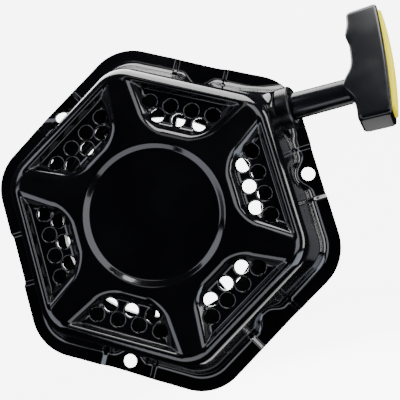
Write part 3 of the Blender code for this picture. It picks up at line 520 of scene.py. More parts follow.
def cover_distance(x, y, z):
    """Below zero inside the cover's outer shape, above zero outside it."""
    out, along = to_flat(x, y)
    wall = hexagon(out, along, FOOT_APOTHEM - WALL_SLOPE * z, 17.5 + z / 24.0) * 0.949
    body = round_max(wall, z - HEIGHT, RAIL_R)
    body = round_max(body, -pocket(out, along, z), 1.7)
    body = round_max(body, -recess(np.hypot(x, y), z), 0.5)
    scallop = np.hypot(out - BOLT_CIRCLE, along) - SCALLOP_R - SCALLOP_DRAFT * (z - SHEET)
    body = round_max(body, -scallop, 2.4)
    body = round_min(body, boss(x, y, z), 3.5)
    ramp = np.clip((np.abs(along) - PAD_HALF) / PAD_RAMP, 0, 1)
    rim = SHEET + PAD_STEP * ramp * ramp * (3 - 2 * ramp)
    return round_min(body, (z - rim) * 0.9, 3.2)


print("cover recipe ready")

# %% [markdown]
# ## The pressed cover, step 2: holes
# The vents, bolt holes, louvre slots and the guide's hole are closed loops drawn on the plan of the
# cover. A vent is plunged, so the sheet rolls down into it: near a vent the height drops by a
# quarter circle.

# %% Hole loops
def on_flat(flat, points):
    """Points drawn at the first flat, turned round to another one."""
    cos, sin = math.cos(flat * SIXTH), math.sin(flat * SIXTH)
    return [(x * cos - y * sin, x * sin + y * cos) for x, y in points]


def vent_centres():
    places = [(row, (i - (count - 1) / 2) * VENT_PITCH)
              for row, count in VENT_ROWS for i in range(count)]
    return [p for flat in range(6) for p in on_flat(flat, places)]


VENTS = np.array(vent_centres())
BOLTS = [on_flat(flat, [(BOLT_CIRCLE, 0.0)])[0] for flat in (0, 2, 4)]


def louvre_loops():
    """Three thin slots on each side of a flat, where the guide's boss leaves room."""
    loops = []
    for flat in range(6):
        for side in (-1, 1):
            if (flat, side) in ((0, 1), (1, -1)):
                continue
            for height in LOUVRE_HEIGHTS:
                low, high = (FOOT_APOTHEM - WALL_SLOPE * (height + step)
                             for step in (-LOUVRE_RISE, LOUVRE_RISE))
                ends = np.linspace(-LOUVRE_HALF, LOUVRE_HALF, 18) + side * LOUVRE_CENTRE
                middle = (low + high) / 2
                loop = [(low, v) for v in ends] + [(middle, ends[-1] + 0.4)]
                loop += [(high, v) for v in ends[::-1]] + [(middle, ends[0] - 0.4)]
                loops.append(on_flat(flat, loop))
    return loops


def guide_loop(radius):
    ring = [ROPE_LINE @ TO_X @ Vector((x, y, 0)) for x, y in circle((0, 0), radius, 36)]
    return [(p.x, p.y) for p in ring]


LOOPS = [circle(c, VENT_R, 28) for c in VENTS] + [circle(c, BOLT_HOLE, 32) for c in BOLTS]
LOOPS += louvre_loops() + [guide_loop(GUIDE_HOLE)]
print(len(LOOPS), "holes")

# %% [markdown]
# ## The pressed cover, step 3: points where the shape needs them
# The mesh is a triangulation of the plan, lifted onto the recipe. Rings of points follow the
# hexagon, close together on the rail and the steep wall and far apart on the flats; extra lines
# follow the pockets, scallops, pad ramps and holes, so that every fillet gets its own rows.

# %% Plan points
def ring_points(apothem, corner, gap):
    """Evenly spaced points round a round-cornered hexagon."""
    corner = min(corner, apothem)
    side = 2 * (apothem - corner) * math.tan(math.radians(30))
    steps, bends = max(1, round(side / gap)), max(3, round(corner * SIXTH / gap))
    flat = [(apothem, -side / 2 + side * i / steps) for i in range(steps)]
    flat += arc((apothem - corner, side / 2), corner, 0, 60, bends)[:-1]
    return [p for k in range(6) for p in on_flat(k, flat)]


def base_rings():
    """Rings from the middle to the rim: where each span starts and ends, its step, its gap."""
    points = [(0.0, 0.0)]
    spans = ((3.0, 30.0, 3.0, 2.2), (30.6, 38.6, 0.55, 1.2), (39.4, 65.0, 0.9, 1.0),
             (65.3, 70.6, 0.32, 1.0), (71.0, 81.2, 0.62, 1.1), (81.6, 86.2, 0.42, 1.1),
             (86.8, 89.8, 0.75, 1.2))
    for first, last, step, gap in spans:
        for apothem in np.arange(first, last, step):
            corner = np.interp(apothem, (37.0, 66.1, TOP_APOTHEM, FOOT_APOTHEM, RIM_APOTHEM),
                               (37.0, 15.0, 19.0, 17.5, RIM_CORNER))
            points += ring_points(apothem, corner, gap)
    return points


def feature_lines():
    """Rows along pockets, scallops, ramps, vents, bolt holes and the boss."""
    one_flat = []
    for move in (-5.6, -5.0, -4.4, -3.7, -2.5, -1.2, -0.5, 0.2, 0.9, 1.6):
        far = POCKET_OUT + np.interp(move, (-5.6, -3.7, 0.2, 1.6), (-3.2, -1.5, 0.0, 0.9))
        near = POCKET_IN - move
        halves = [POCKET_HALF + POCKET_FLARE * (n - POCKET_IN) + move / FLARE_COS
                  for n in (near, far)]
        corners = [(far, -halves[1]), (far, halves[1]), (near, halves[0]), (near, -halves[0])]
        outline = rounded(corners, [0, 0, 7.0 + move, 7.0 + move], 10)
        for a, b in zip(outline, outline[1:] + outline[:1]):
            one_flat += divided(a, b, max(1, int(math.dist(a, b) / 0.8)))
    for radius in np.concatenate((np.arange(7.8, 10.9, 0.22), (11.5, 12.2))):
        one_flat += arc((BOLT_CIRCLE, 0), radius, 95, 265, 34)
    for along in (12.8, 13.4, 14.0, 14.6, 15.2, 15.8, 16.3):
        one_flat += [(out, side * along) for out in np.arange(84.0, 90.0, 0.8) for side in (-1, 1)]
    points = [p for k in range(6) for p in on_flat(k, one_flat)]
    for centre in VENTS:
        points += [p for r in (3.62, 3.8, 4.05, 4.4, 4.9) for p in circle(centre, r, 28)]
    for centre in BOLTS:
        points += [p for r in (4.4, 5.0, 5.8) for p in circle(centre, r, 32)]
    points += guide_loop(8.5) + guide_loop(9.4)
    for loop in louvre_loops():
        middle = np.mean(loop, axis=0)
        for p in loop[::2]:
            grown, outwards = middle + (np.array(p) - middle) * 1.03, np.array(p) / np.hypot(*p)
            points += [tuple(grown + outwards * side) for side in (-0.5, 0.5)]
    return points


def boss_patch():
    return [(x, y) for x in np.arange(66.0, 88.6, 0.45) for y in np.arange(14.0, 58.0, 0.45)]


def inside_loop(points, loop):
    """Which points lie inside a closed loop, by counting crossings."""
    x, y = points[:, 0], points[:, 1]
    inside = np.zeros(len(points), bool)
    for (x1, y1), (x2, y2) in zip(loop, loop[1:] + loop[:1]):
        if y1 != y2:
            crosses = ((y1 > y) != (y2 > y)) & (x < (x2 - x1) * (y - y1) / (y2 - y1) + x1)
            inside ^= crosses
    return inside


def outline_distance(points, inset):
    """Distance to the cover's outline, drawn in by an inset."""
    out, along = to_flat(points[:, 0], points[:, 1])
    return hexagon(out, along, RIM_APOTHEM - inset, RIM_CORNER - inset)


def plan_points():
    """Feature rows first, then the boss patch and the rings, where they fall clear of both."""
    kept, taken = [], set()
    patch_cell, ring_cell = 0.3, 0.5
    for points, cell in ((feature_lines(), 0.16), (boss_patch(), patch_cell),
                         (base_rings(), ring_cell)):
        points = np.array(points)
        points = points[outline_distance(points, 0.6) < 0]
        near_hole = np.zeros(len(points), bool)
        for loop in LOOPS:
            middle = np.mean(loop, axis=0)
            reach = np.max(np.hypot(*(np.array(loop) - middle).T)) + 1.0
            close = np.where(np.hypot(*(points - middle).T) < reach)[0]
            if len(close):
                grown = [tuple(middle + (np.array(p) - middle) * 1.02) for p in loop]
                near_hole[close] |= inside_loop(points[close], grown)
        points = points[~near_hole]
        for x, y in points:
            key = (int(round(x / cell)), int(round(y / cell)), cell)
            if key not in taken:
                taken.add(key)
                kept.append((x, y))
        # every point kept so far also takes the cells near it on the two coarser grids
        for x, y in kept:
            for step in (patch_cell, ring_cell):
                cx, cy = round(x / step), round(y / step)
                taken.update((int(cx + i), int(cy + j), step)
                             for i in (-1, 0, 1) for j in (-1, 0, 1)
                             if abs((cx + i) * step - x) < step
                             and abs((cy + j) * step - y) < step)
    return kept


# %% [markdown]
# ## The pressed cover, step 4: lift, thicken, edge
# Bisection finds the height where the recipe's distance is zero. The slope of that height gives
# exact normals, which are written onto the mesh, so the gloss shows the shape and not the
# triangles. The underside is the same skin one sheet lower, and a rounded strip closes each edge.

# %% Cover mesh
def height_at(x, y):
    """The cover's height above its mounting plane, found by halving."""
    low, high = np.zeros_like(x), np.full_like(x, HEIGHT + 5.0)
    for _ in range(30):
        middle = (low + high) / 2
        outside = cover_distance(x, y, middle) > 0
        high, low = np.where(outside, middle, high), np.where(outside, low, middle)
    return (low + high) / 2


def plunge(x, y):
    """How far the sheet rolls down beside a vent."""
    nearest = np.full_like(x, 99.0)
    for centre in VENTS:
        nearest = np.minimum(nearest, np.hypot(x - centre[0], y - centre[1]))
    share = np.clip(1 - (nearest - VENT_R + 0.03) / 1.15, 0, 1)
    return 1.0 * (1 - np.sqrt(1 - share ** 2))


def skin(x, y, rolled):
    """Heights and normals of the outer skin."""
    def height(px, py):
        return height_at(px, py) - (plunge(px, py) if rolled else 0.0)
    step = 0.015
    slope_x = (height(x + step, y) - height(x - step, y)) / (2 * step)
    slope_y = (height(x, y + step) - height(x, y - step)) / (2 * step)
    normals = np.stack([-slope_x, -slope_y, np.ones_like(x)], 1)
    return height(x, y), normals / np.linalg.norm(normals, axis=1)[:, None]


def triangulate():
    """The plan as triangles, without the holes."""
    edge = ring_points(RIM_APOTHEM - 0.25, RIM_CORNER - 0.25, 1.0)
    loops = [edge] + LOOPS
    points = [Vector(p) for loop in loops for p in loop]
    links, start = [], 0
    for loop in loops:
        links += [(start + i, start + (i + 1) % len(loop)) for i in range(len(loop))]
        start += len(loop)
    points += [Vector(p) for p in plan_points()]
    verts, _, faces, _, _, _ = delaunay_2d_cdt(points, links, [], 0, 1e-5)
    plan = np.array([tuple(v) for v in verts])
    faces = np.array([f for f in faces if len(f) == 3])
    middles = plan[faces].mean(axis=1)
    keep = outline_distance(middles, 0.25) < 0.02
    for loop in LOOPS:
        centre = np.mean(loop, axis=0)
        reach = np.max(np.hypot(*(np.array(loop) - centre).T))
        close = np.where(np.hypot(*(middles - centre).T) < reach)[0]
        keep[close] &= ~inside_loop(middles[close], loop)
    return plan, faces[keep]


def make_cover():
    plan, faces = triangulate()
    a, b, c = (plan[faces[:, i]] for i in range(3))
    turned = (b[:, 0] - a[:, 0]) * (c[:, 1] - a[:, 1]) - (b[:, 1] - a[:, 1]) * (c[:, 0] - a[:, 0]) < 0
    faces[turned] = faces[turned][:, ::-1]
    used = np.unique(faces)
    plan, faces = plan[used], np.searchsorted(used, faces)
    x, y = plan[:, 0], plan[:, 1]
    top, top_normals = skin(x, y, True)
    base, base_normals = skin(x, y, False)
    upper = np.stack([x, y, top], 1)
    lower = np.stack([x, y, base], 1) - SHEET * base_normals
    count = len(upper)
    edges = {}
    for face in faces.tolist():
        for i in range(3):
            edges[(face[i], face[(i + 1) % 3])] = True
    border = [e for e in edges if (e[1], e[0]) not in edges]
    away = np.zeros((count, 3))
    for i, j in border:
        push = np.cross(upper[j] - upper[i], top_normals[i])
        away[i] += push
        away[j] += push
    rim = sorted({i for e in border for i in e})
    rank = {v: n for n, v in enumerate(rim)}
    away = away[rim] / np.linalg.norm(away[rim], axis=1)[:, None]
    down = lower[rim] - upper[rim]
    ring_1 = upper[rim] + 0.22 * down + 0.22 * away
    ring_2 = upper[rim] + 0.8 * down + 0.22 * away
    points = np.concatenate([upper, lower, ring_1, ring_2])
    normals = np.concatenate([top_normals, -base_normals, away, away])
    all_faces = faces.tolist() + (faces[:, ::-1] + count).tolist()
    for i, j in border:
        first, second = 2 * count + rank[i], 2 * count + rank[j]
        step = len(rim)
        all_faces += [(j, i, first, second), (second, first, first + step, second + step),
                      (second + step, first + step, count + i, count + j)]
    cover = build("pressed_cover", points, all_faces)
    cover.data.shade_smooth()
    stood = normals @ np.array(Matrix.Rotation(math.pi / 2, 3, "X")).T
    cover.data.normals_split_custom_set_from_vertices([tuple(n) for n in stood])
    return cover


hand_in(make_cover(), "housing", ENAMEL, "cover_paint", "cover")

# %% [markdown]
# ## The rope guide
# The rope leaves through a moulded bush: a neck through the sheet, a collar on its seat, and
# a funnel that the handle's stem sits in at rest. It is one closed profile spun about the rope.

# %% Rope guide
GUIDE_FACE = 7.5
STEM_END = GUIDE_FACE - 2.6
STEM_R, STEM_TOP_R = 7.3, 6.6


def make_guide():
    profile = rounded([
        (9.0, GUIDE_FACE), (10.3, GUIDE_FACE), (11.2, GUIDE_FACE - 1.0), (11.2, 0.3), (7.6, 0.3),
        (7.6, -6.0), (4.7, -6.0), (2.7, -4.0), (2.7, STEM_END - 1.8), (4.2, STEM_END - 0.3),
        (7.9, STEM_END - 0.3)], 0.5, 5)
    return soften(lathe("rope_bush", profile, 96, ROPE_LINE @ TO_X), 0.01, 1, 60)


hand_in(make_guide(), "housing", GUIDE_PLASTIC, "nylon", "rope_guide")

# %% [markdown]
# ## The handle
# The T grip is a row of rounded sections along its bar. Its finger side swells to meet the stem and
# has a ridge between two fingers; its back is slightly bowed. The ends close in over a quarter
# circle, and the stem is a tapered turned piece joined to it.

# %% Grip and stem
GRIP_INNER = STEM_END + 35.5
GRIP_BACK = GRIP_INNER + 16.0
GRIP_UP, GRIP_DOWN, GRIP_HALF_THICK = 45.5, 22.5, 7.5
HANDLE = ROPE_LINE @ GRIP_TWIST


def finger_side(along):
    shoulder = 5.5 * math.exp(-(along / 7.5) ** 2)
    ridge = 1.6 * math.exp(-((along - 31.0) / 5.0) ** 2)
    return GRIP_INNER - shoulder - ridge


def grip_section(along, inset):
    """One section across the bar: x along the rope, z through the thickness."""
    share = (along + GRIP_DOWN) / (GRIP_UP + GRIP_DOWN)
    front = finger_side(along) + inset
    back = GRIP_BACK + 1.0 - (2 * share - 1) ** 2 - inset
    half = GRIP_HALF_THICK - inset
    corners = [(front, -half), (back, -half), (back, half), (front, half)]
    outline = rounded(corners, [2.4, 1.7, 1.7, 2.4], 5)
    return [(x, along, z) for x, z in outline]


def make_grip():
    end_r = 2.2
    lower = [(-GRIP_DOWN + end_r * (1 - math.cos(math.pi / 2 * i / 6)),
              end_r * (1 - math.sin(math.pi / 2 * i / 6))) for i in range(7)]
    span = GRIP_UP + GRIP_DOWN - 2 * end_r
    middle = [(-GRIP_DOWN + end_r + span * i / 56, 0.0) for i in range(1, 56)]
    upper = [(GRIP_UP - GRIP_DOWN - along, inset) for along, inset in reversed(lower)]
    rows = [grip_section(along, inset) for along, inset in lower + middle + upper]
    count = len(rows[0])
    points = [point for row in rows for point in row]
    faces = side_faces(count, len(rows))
    faces += [tuple(range(count)), tuple(reversed(range(len(points) - count, len(points))))]
    grip = tidy(build("pull_grip", points, faces, HANDLE))
    stem = rounded([(0.0, GRIP_INNER + 6), (STEM_TOP_R, GRIP_INNER + 6), (STEM_TOP_R, GRIP_INNER),
                    (STEM_R, STEM_END), (2.9, STEM_END), (2.9, STEM_END + 8), (0.0, STEM_END + 8)],
                   [0, 0, 0, 0.9, 0.5, 0, 0], 5)
    stem = tidy(lathe_open("stem", stem, 72, HANDLE @ TO_X))
    carve(grip, stem, "UNION")
    return soften(grip, 0.25, 2, 35)


hand_in(make_grip(), "handle", GRIP, "grip_plastic", "handle_grip")

# %% [markdown]
# ## The yellow insert
# The insert is a thin moulding pressed into the grip's back. Rings of a rounded rectangle shrink
# towards the middle while their height follows a shallow dome, which a flat plate could not show.

# %% Insert
def make_insert():
    half_long, half_thick = (GRIP_UP + GRIP_DOWN) / 2 - 2.6, GRIP_HALF_THICK - 2.3
    middle = (GRIP_UP - GRIP_DOWN) / 2
    points = []
    rings = [(0.0, -1.2), (0.0, 0.35), (0.12, 0.75), (0.4, 1.05)]
    rings += [(0.4 + s, 1.05) for s in (0.8, 1.8, 3.0, 4.2, 4.7)]
    for inset, rise in rings:
        x, y = half_long - inset, half_thick - inset
        outline = rounded([(-x, -y), (x, -y), (x, y), (-x, y)], max(0.15, 3.0 - inset), 6)
        dense = []
        for a, b in zip(outline, outline[1:] + outline[:1]):
            dense += divided(a, b, 24 if math.dist(a, b) > 20 else 1)
        for px, py in dense:
            crown = (1 - (px / (half_long + 1)) ** 2) * (1.9 if rise > 0 else 0.0)
            across = 0.5 * (1 - (py / half_thick) ** 2) if rise > 1 else 0.0
            points.append((GRIP_BACK + rise + crown + across, px + middle, py))
    count = len(dense)
    faces = side_faces(count, len(rings))
    faces += [tuple(range(count)), tuple(reversed(range(len(points) - count, len(points))))]
    return tidy(build("yellow_insert", points, faces, HANDLE), 50)


hand_in(make_insert(), "handle", YELLOW, "yellow_plastic", "handle_insert")

# %% [markdown]
# ## Rope
# A 4 mm braid is a tube whose skin is a lattice of small raised diamonds. The tube is swept along
# its path with a frame that never twists suddenly, and each point moves out or in with the two
# crossing families of strands.

# %% Braided tube
def braid(name, path, radius, around=16, strands=4, lay=11.0):
    """A tube along close points of a path, with braided relief."""
    path = [Vector(p) for p in path]
    points = []
    side = (path[1] - path[0]).orthogonal().normalized()
    run = 0.0
    for i, here in enumerate(path):
        ahead = (path[min(i + 1, len(path) - 1)] - path[max(i - 1, 0)]).normalized()
        side = (side - ahead * side.dot(ahead)).normalized()
        up = ahead.cross(side)
        run += (here - path[i - 1]).length if i else 0.0
        for j in range(around):
            turn = math.tau * j / around
            over, along = strands * turn, math.tau * run / lay * 2
            lift = math.sin(over + along) * math.sin(over - along)
            reach = radius * (0.97 + 0.045 * lift)
            points.append(here + reach * (math.cos(turn) * side + math.sin(turn) * up))
    faces = side_faces(around, len(path))
    faces += [tuple(reversed(range(around))), tuple(range(len(points) - around, len(points)))]
    return tidy(build(name, points, faces), 70)


ROPE_R, GROOVE_Z, GROOVE_FLOOR = 2.0, 15.4, 58.0
LAYERS = (GROOVE_FLOOR + 0.3 + ROPE_R, GROOVE_FLOOR + 0.3 + ROPE_R * (1 + math.sqrt(3)))


def leaving_turn():
    """The angle at which the rope leaves the winding, straight for the guide."""
    end = ROPE_LINE @ Vector((-6.0, 0, 0))
    return math.atan2(end.y, end.x) + math.acos(LAYERS[1] / math.hypot(end.x, end.y))


# %% [markdown]
# ## The winding, the run and the lead
# Nearly four turns lie in the groove, in two layers of two. The run goes from the winding
# to the guide. The lead is the stretch between guide and handle, drawn as it lies at rest.

# %% Winding, run, lead
def winding_path():
    """Turn by turn from the outer layer inwards, crossing over in the last tenth of each turn."""
    steps = 2600
    places = [(LAYERS[1], -1.96), (LAYERS[1], 1.96), (LAYERS[0], 2.0), (LAYERS[0], -2.0)]
    start = leaving_turn()
    total = 4 * math.tau - (start % math.tau)
    path = []
    for i in range(steps):
        turn = total * i / (steps - 1)
        lap = min(3, int(turn / math.tau))
        share = turn / math.tau - lap
        ease = max(0.0, (share - 0.9) / 0.1)
        ease = ease * ease * (3 - 2 * ease)
        here, after = places[lap], places[min(3, lap + 1)]
        radius = here[0] + (after[0] - here[0]) * ease
        height = here[1] + (after[1] - here[1]) * ease
        path.append((radius * math.cos(start + turn), radius * math.sin(start + turn),
                     GROOVE_Z + height))
    return path


def run_path():
    start, bend = leaving_turn(), 0.35
    path = [(LAYERS[1] * math.cos(start + t), LAYERS[1] * math.sin(start + t),
             GROOVE_Z - 1.96 * t / bend) for t in np.linspace(bend, 0.01, 24)]
    first, last = Vector(path[-1]), ROPE_LINE @ Vector((-5.6, 0, 0))
    path += [first.lerp(last, t) for t in np.linspace(0.02, 1.0, 60)]
    return path


hand_in(braid("rope_winding", winding_path(), ROPE_R, 12, 3), "reel", ROPE, "rope", "rope_coil")
hand_in(braid("rope_run_braid", run_path(), ROPE_R, 24), "housing", ROPE, "rope", "rope_run")
lead_line = [ROPE_LINE @ Vector((s, 0, 0)) for s in np.linspace(-5.5, STEM_END + 7.6, 160)]
lead = braid("rope_lead", lead_line, ROPE_R * 0.97, 24)
hand_in(lead, None, ROPE, "rope", "rope_end")
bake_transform(lead)

# %% [markdown]
# ## The reel
# The reel is a nylon moulding: a spring cup, a web with eight windows, and a deep groove. It is
# turned from one profile, and then the windows are cut with rounded cutters. Through the cover's
# vents the windows let the light through, so they matter from the front too.

# %% Reel
WINDOWS, WINDOW_IN, WINDOW_OUT = 8, 41.5, 54.1
PAWL_CIRCLE = 18.0


def make_reel():
    top, low = GROOVE_Z + 4.4, GROOVE_Z - 4.4
    profile = rounded([
        (6.3, 31.0), (9.0, 31.0), (9.0, 21.5), (37.6, 21.5), (37.6, 33.0), (40.0, 33.0),
        (40.0, 19.5), (55.6, 19.5), (55.6, top + 1.6), (67.0, top + 1.6), (67.0, top),
        (GROOVE_FLOOR, top), (GROOVE_FLOOR, low), (67.0, low), (67.0, low - 1.6),
        (55.6, low - 1.6), (55.6, 15.5), (27.0, 15.5), (27.0, 8.5), (6.3, 8.5)], 0.45, 3)
    reel = lathe("reel_moulding", profile, 120)
    tool = None
    for i in range(WINDOWS):
        middle = 360 / WINDOWS * i
        half_in, half_out = (180 / WINDOWS - math.degrees(3.0 / r)
                             for r in (WINDOW_IN, WINDOW_OUT))
        outline = arc((0, 0), WINDOW_OUT, middle - half_out, middle + half_out, 14)
        outline += arc((0, 0), WINDOW_IN, middle + half_in, middle - half_in, 12)
        window = plate("window", outline, 13.0, 22.0)
        tool = window if tool is None else join_pieces(tool, window)
    for side in (-1, 1):
        hole = circle((0, side * PAWL_CIRCLE), 2.7, 24)
        tool = join_pieces(tool, plate("pin_hole", hole, 7.0, 14.8))
    carve(reel, tool)
    return soften(reel, 0.3, 2, 40)


hand_in(make_reel(), "reel", NYLON, "nylon", "starter_reel")

# %% [markdown]
# ## The ratchet
# Two pawls swing out of the reel when the guide plate lags behind it. The plate is turned, with a
# curved slot for each pawl's peg; the pawls are small pressings with softened edges.

# %% Ratchet guide and pawls
PAWL_REST, PAWL_SWING, PLATE_TURN = 98.0, 38.0, 30.0
PEG, SLOT_STEPS = (6.5, -0.4), 12


def pawl_place(angle, swing=0.0):
    """Where a pawl's pivot is, turned by the pawl's rest angle less its swing."""
    turn = Matrix.Rotation(math.radians(angle + PAWL_REST - swing), 4, "Z")
    cos, sin = math.cos(math.radians(angle)), math.sin(math.radians(angle))
    return Matrix.Translation(Vector((PAWL_CIRCLE * cos, PAWL_CIRCLE * sin, 8.2))) @ turn


def slot_outline(angle):
    """The track of a pawl's peg, as the plate sees it."""
    path = []
    for i in range(SLOT_STEPS + 1):
        share = i / SLOT_STEPS
        peg = pawl_place(angle, PAWL_SWING * share) @ Vector((*PEG, 0))
        path.append((Matrix.Rotation(math.radians(-PLATE_TURN * share), 3, "Z") @ peg).to_2d())
    left, right = [], []
    for i, point in enumerate(path):
        ahead = (path[min(i + 1, SLOT_STEPS)] - path[max(i - 1, 0)]).normalized()
        side = Vector((-ahead.y, ahead.x)) * 1.75
        left.append(tuple(point + side))
        right.append(tuple(point - side))
    radii = [1.6] + [0] * (SLOT_STEPS - 1) + [1.6]
    return rounded(left + right[::-1], radii + radii, 5)


def make_plate():
    profile = rounded([(3.3, 6.9), (10.2, 6.9), (10.2, 3.8), (25.0, 3.8), (25.0, 1.6), (8.2, 1.6),
                       (7.8, 4.2), (3.3, 4.2)], 0.35, 3)
    guide = lathe("pawl_plate", profile, 96)
    tool = plate("slot", slot_outline(90), 0.0, 5.0)
    tool = join_pieces(tool, plate("slot", slot_outline(270), 0.0, 5.0))
    carve(guide, tool)
    return soften(guide, 0.25, 2, 40)


def make_pawl(name, angle):
    place = pawl_place(angle)
    corners = arc((0, 0), 4.6, 75, 285, 24) + [(9.35, -3.4), (17.0, -1.6), (17.0, 1.4), (8.5, 3.0)]
    pawl = plate(name, rounded(corners, [0] * 26 + [0.5, 0.5, 1.5], 4), -4.0, 0.0, place)
    carve(pawl, plate("pin", circle((0, 0), 2.4, 32), -1.0, 6.0, place), "UNION")
    carve(pawl, plate("peg", circle(PEG, 1.3, 24), -6.0, -1.0, place), "UNION")
    return soften(pawl, 0.22, 2, 40)


hand_in(make_plate(), "ratchet", NYLON, "nylon", "ratchet_guide")
hand_in(make_pawl("pawl_upper_steel", 90), "pawl_upper", ZINC, "zinc_steel", "pawl_1")
hand_in(make_pawl("pawl_lower_steel", 270), "pawl_lower", ZINC, "zinc_steel", "pawl_2")

# %% [markdown]
# ## Wire springs
# The friction spring is an open ring on the plate's hub, and each pawl has a hair spring. They are
# drawn as curves with a round section and closed ends, and then turned into meshes.

# %% Springs
def wire(name, points, radius):
    """A smooth wire through some points."""
    curve = bpy.data.curves.new(name, "CURVE")
    curve.dimensions = "3D"
    curve.bevel_depth = radius
    curve.bevel_resolution = 4
    curve.use_fill_caps = True
    spline = curve.splines.new("POLY")
    spline.points.add(len(points) - 1)
    for point, place in zip(spline.points, points):
        point.co = (*place, 1.0)
    holder = bpy.data.objects.new(name, curve)
    bpy.context.scene.collection.objects.link(holder)
    bpy.context.view_layer.update()
    graph = bpy.context.evaluated_depsgraph_get()
    mesh = bpy.data.meshes.new_from_object(holder.evaluated_get(graph))
    bpy.data.objects.remove(holder)
    mesh.transform(STAND)
    piece = bpy.data.objects.new(name, mesh)
    bpy.context.scene.collection.objects.link(piece)
    return tidy(piece, 50)


def hair_spring(name, angle):
    place = pawl_place(angle)
    bend = arc((0, 0), 5.35, 235, 85, 30) + [(5.0, 4.6), (8.5, 4.15)]
    return wire(name, [place @ Vector((x, y, -2.0)) for x, y in bend], 0.42)


ring = wire("friction_ring", [(x, y, 5.0) for x, y in arc((0, 0), 11.1, 20, 340, 72)], 0.6)
hand_in(ring, "ratchet", BLUED, "spring_steel", "friction_spring")
hand_in(hair_spring("pawl_hair_1", 90), "reel", BLUED, "spring_steel", "pawl_spring_1")
hand_in(hair_spring("pawl_hair_2", 270), "reel", BLUED, "spring_steel", "pawl_spring_2")

# %% [markdown]
# ## The centre bolt
# A flange bolt holds the stack on the post. Its head is a hexagon whose corners are turned off at
# the top, over a flange that thins towards its edge.

# %% Centre bolt
def make_bolt():
    profile = rounded([(0, 23.2), (2.4, 23.2), (2.4, 2.8), (6.6, 2.8), (6.6, 2.5), (4.8, 1.6), (0, 1.6)],
                      [0, 0.5, 0.2, 0.1, 0.2, 0.3, 0], 4)
    bolt = tidy(lathe_open("flange_bolt", profile, 48, None))
    head = plate("head", circle((0, 0), 5.0 / math.cos(math.pi / 6), 6), 0.8, 3.0)
    cone = tidy(lathe_open("cone", [(0, 3.8), (7.2, 3.8), (7.2, 1.9), (5.0, 0.7), (0, 0.7)], 64, None))
    carve(head, cone, "INTERSECT")
    carve(bolt, head, "UNION")
    return soften(bolt, 0.15, 2, 30)


hand_in(make_bolt(), "housing", ZINC, "zinc_steel", "centre_bolt")

# %% [markdown]
# ## Small parts that are right already
# Washers, the post, the push-on clip, the spring and its pin have the right shape in the working
# model. They keep it, and only put on their finish.

# %% Finishes on the model's own parts
DRESS = {"guide_clip": ZINC, "centre_post": ZINC, "lock_washer": ZINC, "thrust_washer": ZINC,
         "spring_pin": ZINC, "knot_washer": ZINC, "recoil_spring": BLUED, "reel_knot": ROPE}
for node, material in DRESS.items():
    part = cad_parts[node]
    part.data.materials.clear()
    part.data.materials.append(material)
print("dressed", len(DRESS), "parts")

# %% [markdown]
# ## Floor, backdrop and light
# The starter hangs above the pale floor of a white tent. A glossy black thing is lit by what it
# mirrors. The tent itself is kept out of the reflections, as a studio does with black flags, and
# each panel puts one band on one kind of slope: overhead on the faces that look up, low on those
# that look down. Nothing stands in front, so the faces turned to the camera stay black.

# %% Studio
def pale(name, strength):
    f = Finish(name, 0.9)
    grain = f.noise(14.0, 3.0)
    f.colour(f.blend(grain, (0.93, 0.93, 0.93), (0.9, 0.9, 0.91)))
    f.feed(f.shader.inputs["Emission Color"], f.blend(grain, (1.0, 1.0, 1.0), (0.98, 0.98, 0.98)))
    f.shader.inputs["Emission Strength"].default_value = strength
    return f.material


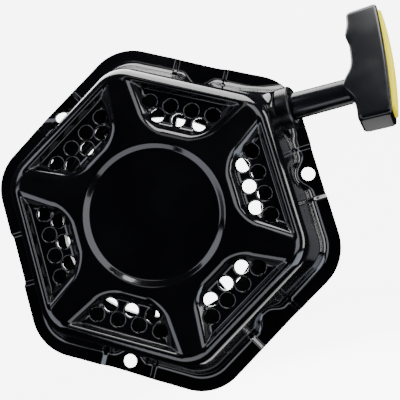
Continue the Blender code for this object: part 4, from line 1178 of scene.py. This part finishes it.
def make_tent():
    """A white tent with a flat floor: a ball whose lower part is pressed flat."""
    floor_z, reach = -0.42, 2.4
    bm = bmesh.new()
    bmesh.ops.create_uvsphere(bm, u_segments=64, v_segments=40, radius=reach)
    for vert in bm.verts:
        vert.co.z = max(vert.co.z, floor_z)
    bmesh.ops.reverse_faces(bm, faces=bm.faces)
    mesh = bpy.data.meshes.new("tent")
    bm.to_mesh(mesh)
    bm.free()
    mesh.shade_smooth()
    mesh.materials.append(pale("pale_tent", 7.0))
    tent = bpy.data.objects.new("tent", mesh)
    tent.visible_glossy = False
    tent.visible_diffuse = False
    bpy.context.scene.collection.objects.link(tent)
    return tent


def panel(name, place, target, size, power, tint=(1.0, 1.0, 1.0)):
    light = bpy.data.lights.new(name, "AREA")
    light.shape = "RECTANGLE"
    light.size, light.size_y = size
    light.energy = power
    light.color = tint
    lamp = bpy.data.objects.new(name, light)
    lamp.location = place
    lamp.visible_camera = False
    lamp.rotation_euler = (Vector(target) - Vector(place)).to_track_quat("-Z", "Y").to_euler()
    bpy.context.scene.collection.objects.link(lamp)


make_tent()
panel("overhead", (0.1, 0.1, 0.85), (0, 0, 0), (1.6, 0.6), 30.0)
panel("front_top", (0.25, -0.8, 0.65), (0, 0, 0), (0.7, 0.3), 0.8)
panel("upper_left", (-0.6, -0.45, 0.6), (0, 0, 0), (0.5, 0.4), 1.8, (0.86, 0.88, 1.0))
panel("right", (0.62, -0.7, 0.1), (0, 0, 0), (0.4, 1.1), 4.4, (0.9, 0.92, 1.0))
panel("right_edge", (0.9, -0.12, 0.0), (0, 0, 0), (0.2, 0.9), 4.0)
panel("left", (-0.75, -0.5, -0.1), (0, 0, 0), (0.45, 0.9), 3.4, (0.86, 0.88, 1.0))
panel("low", (-0.1, -0.5, -0.8), (0, 0, 0), (1.2, 0.4), 3.6, (0.9, 0.92, 1.0))
panel("low_right", (0.6, -0.25, -0.6), (0, 0, 0), (0.5, 0.35), 2.4, (0.8, 0.86, 1.0))
panel("below_back", (0.14, 0.24, -0.38), (0.12, -0.03, 0.02), (0.35, 0.25), 0.5)
panel("behind", (0.1, 1.3, 0.25), (0, 0, 0), (0.7, 0.6), 16.0)
world = bpy.data.worlds.new("studio")
world.use_nodes = True
background = world.node_tree.nodes["Background"].inputs
background["Color"].default_value = (0.012, 0.012, 0.014, 1)
background["Strength"].default_value = 1.0
bpy.context.scene.world = world
print("lit")
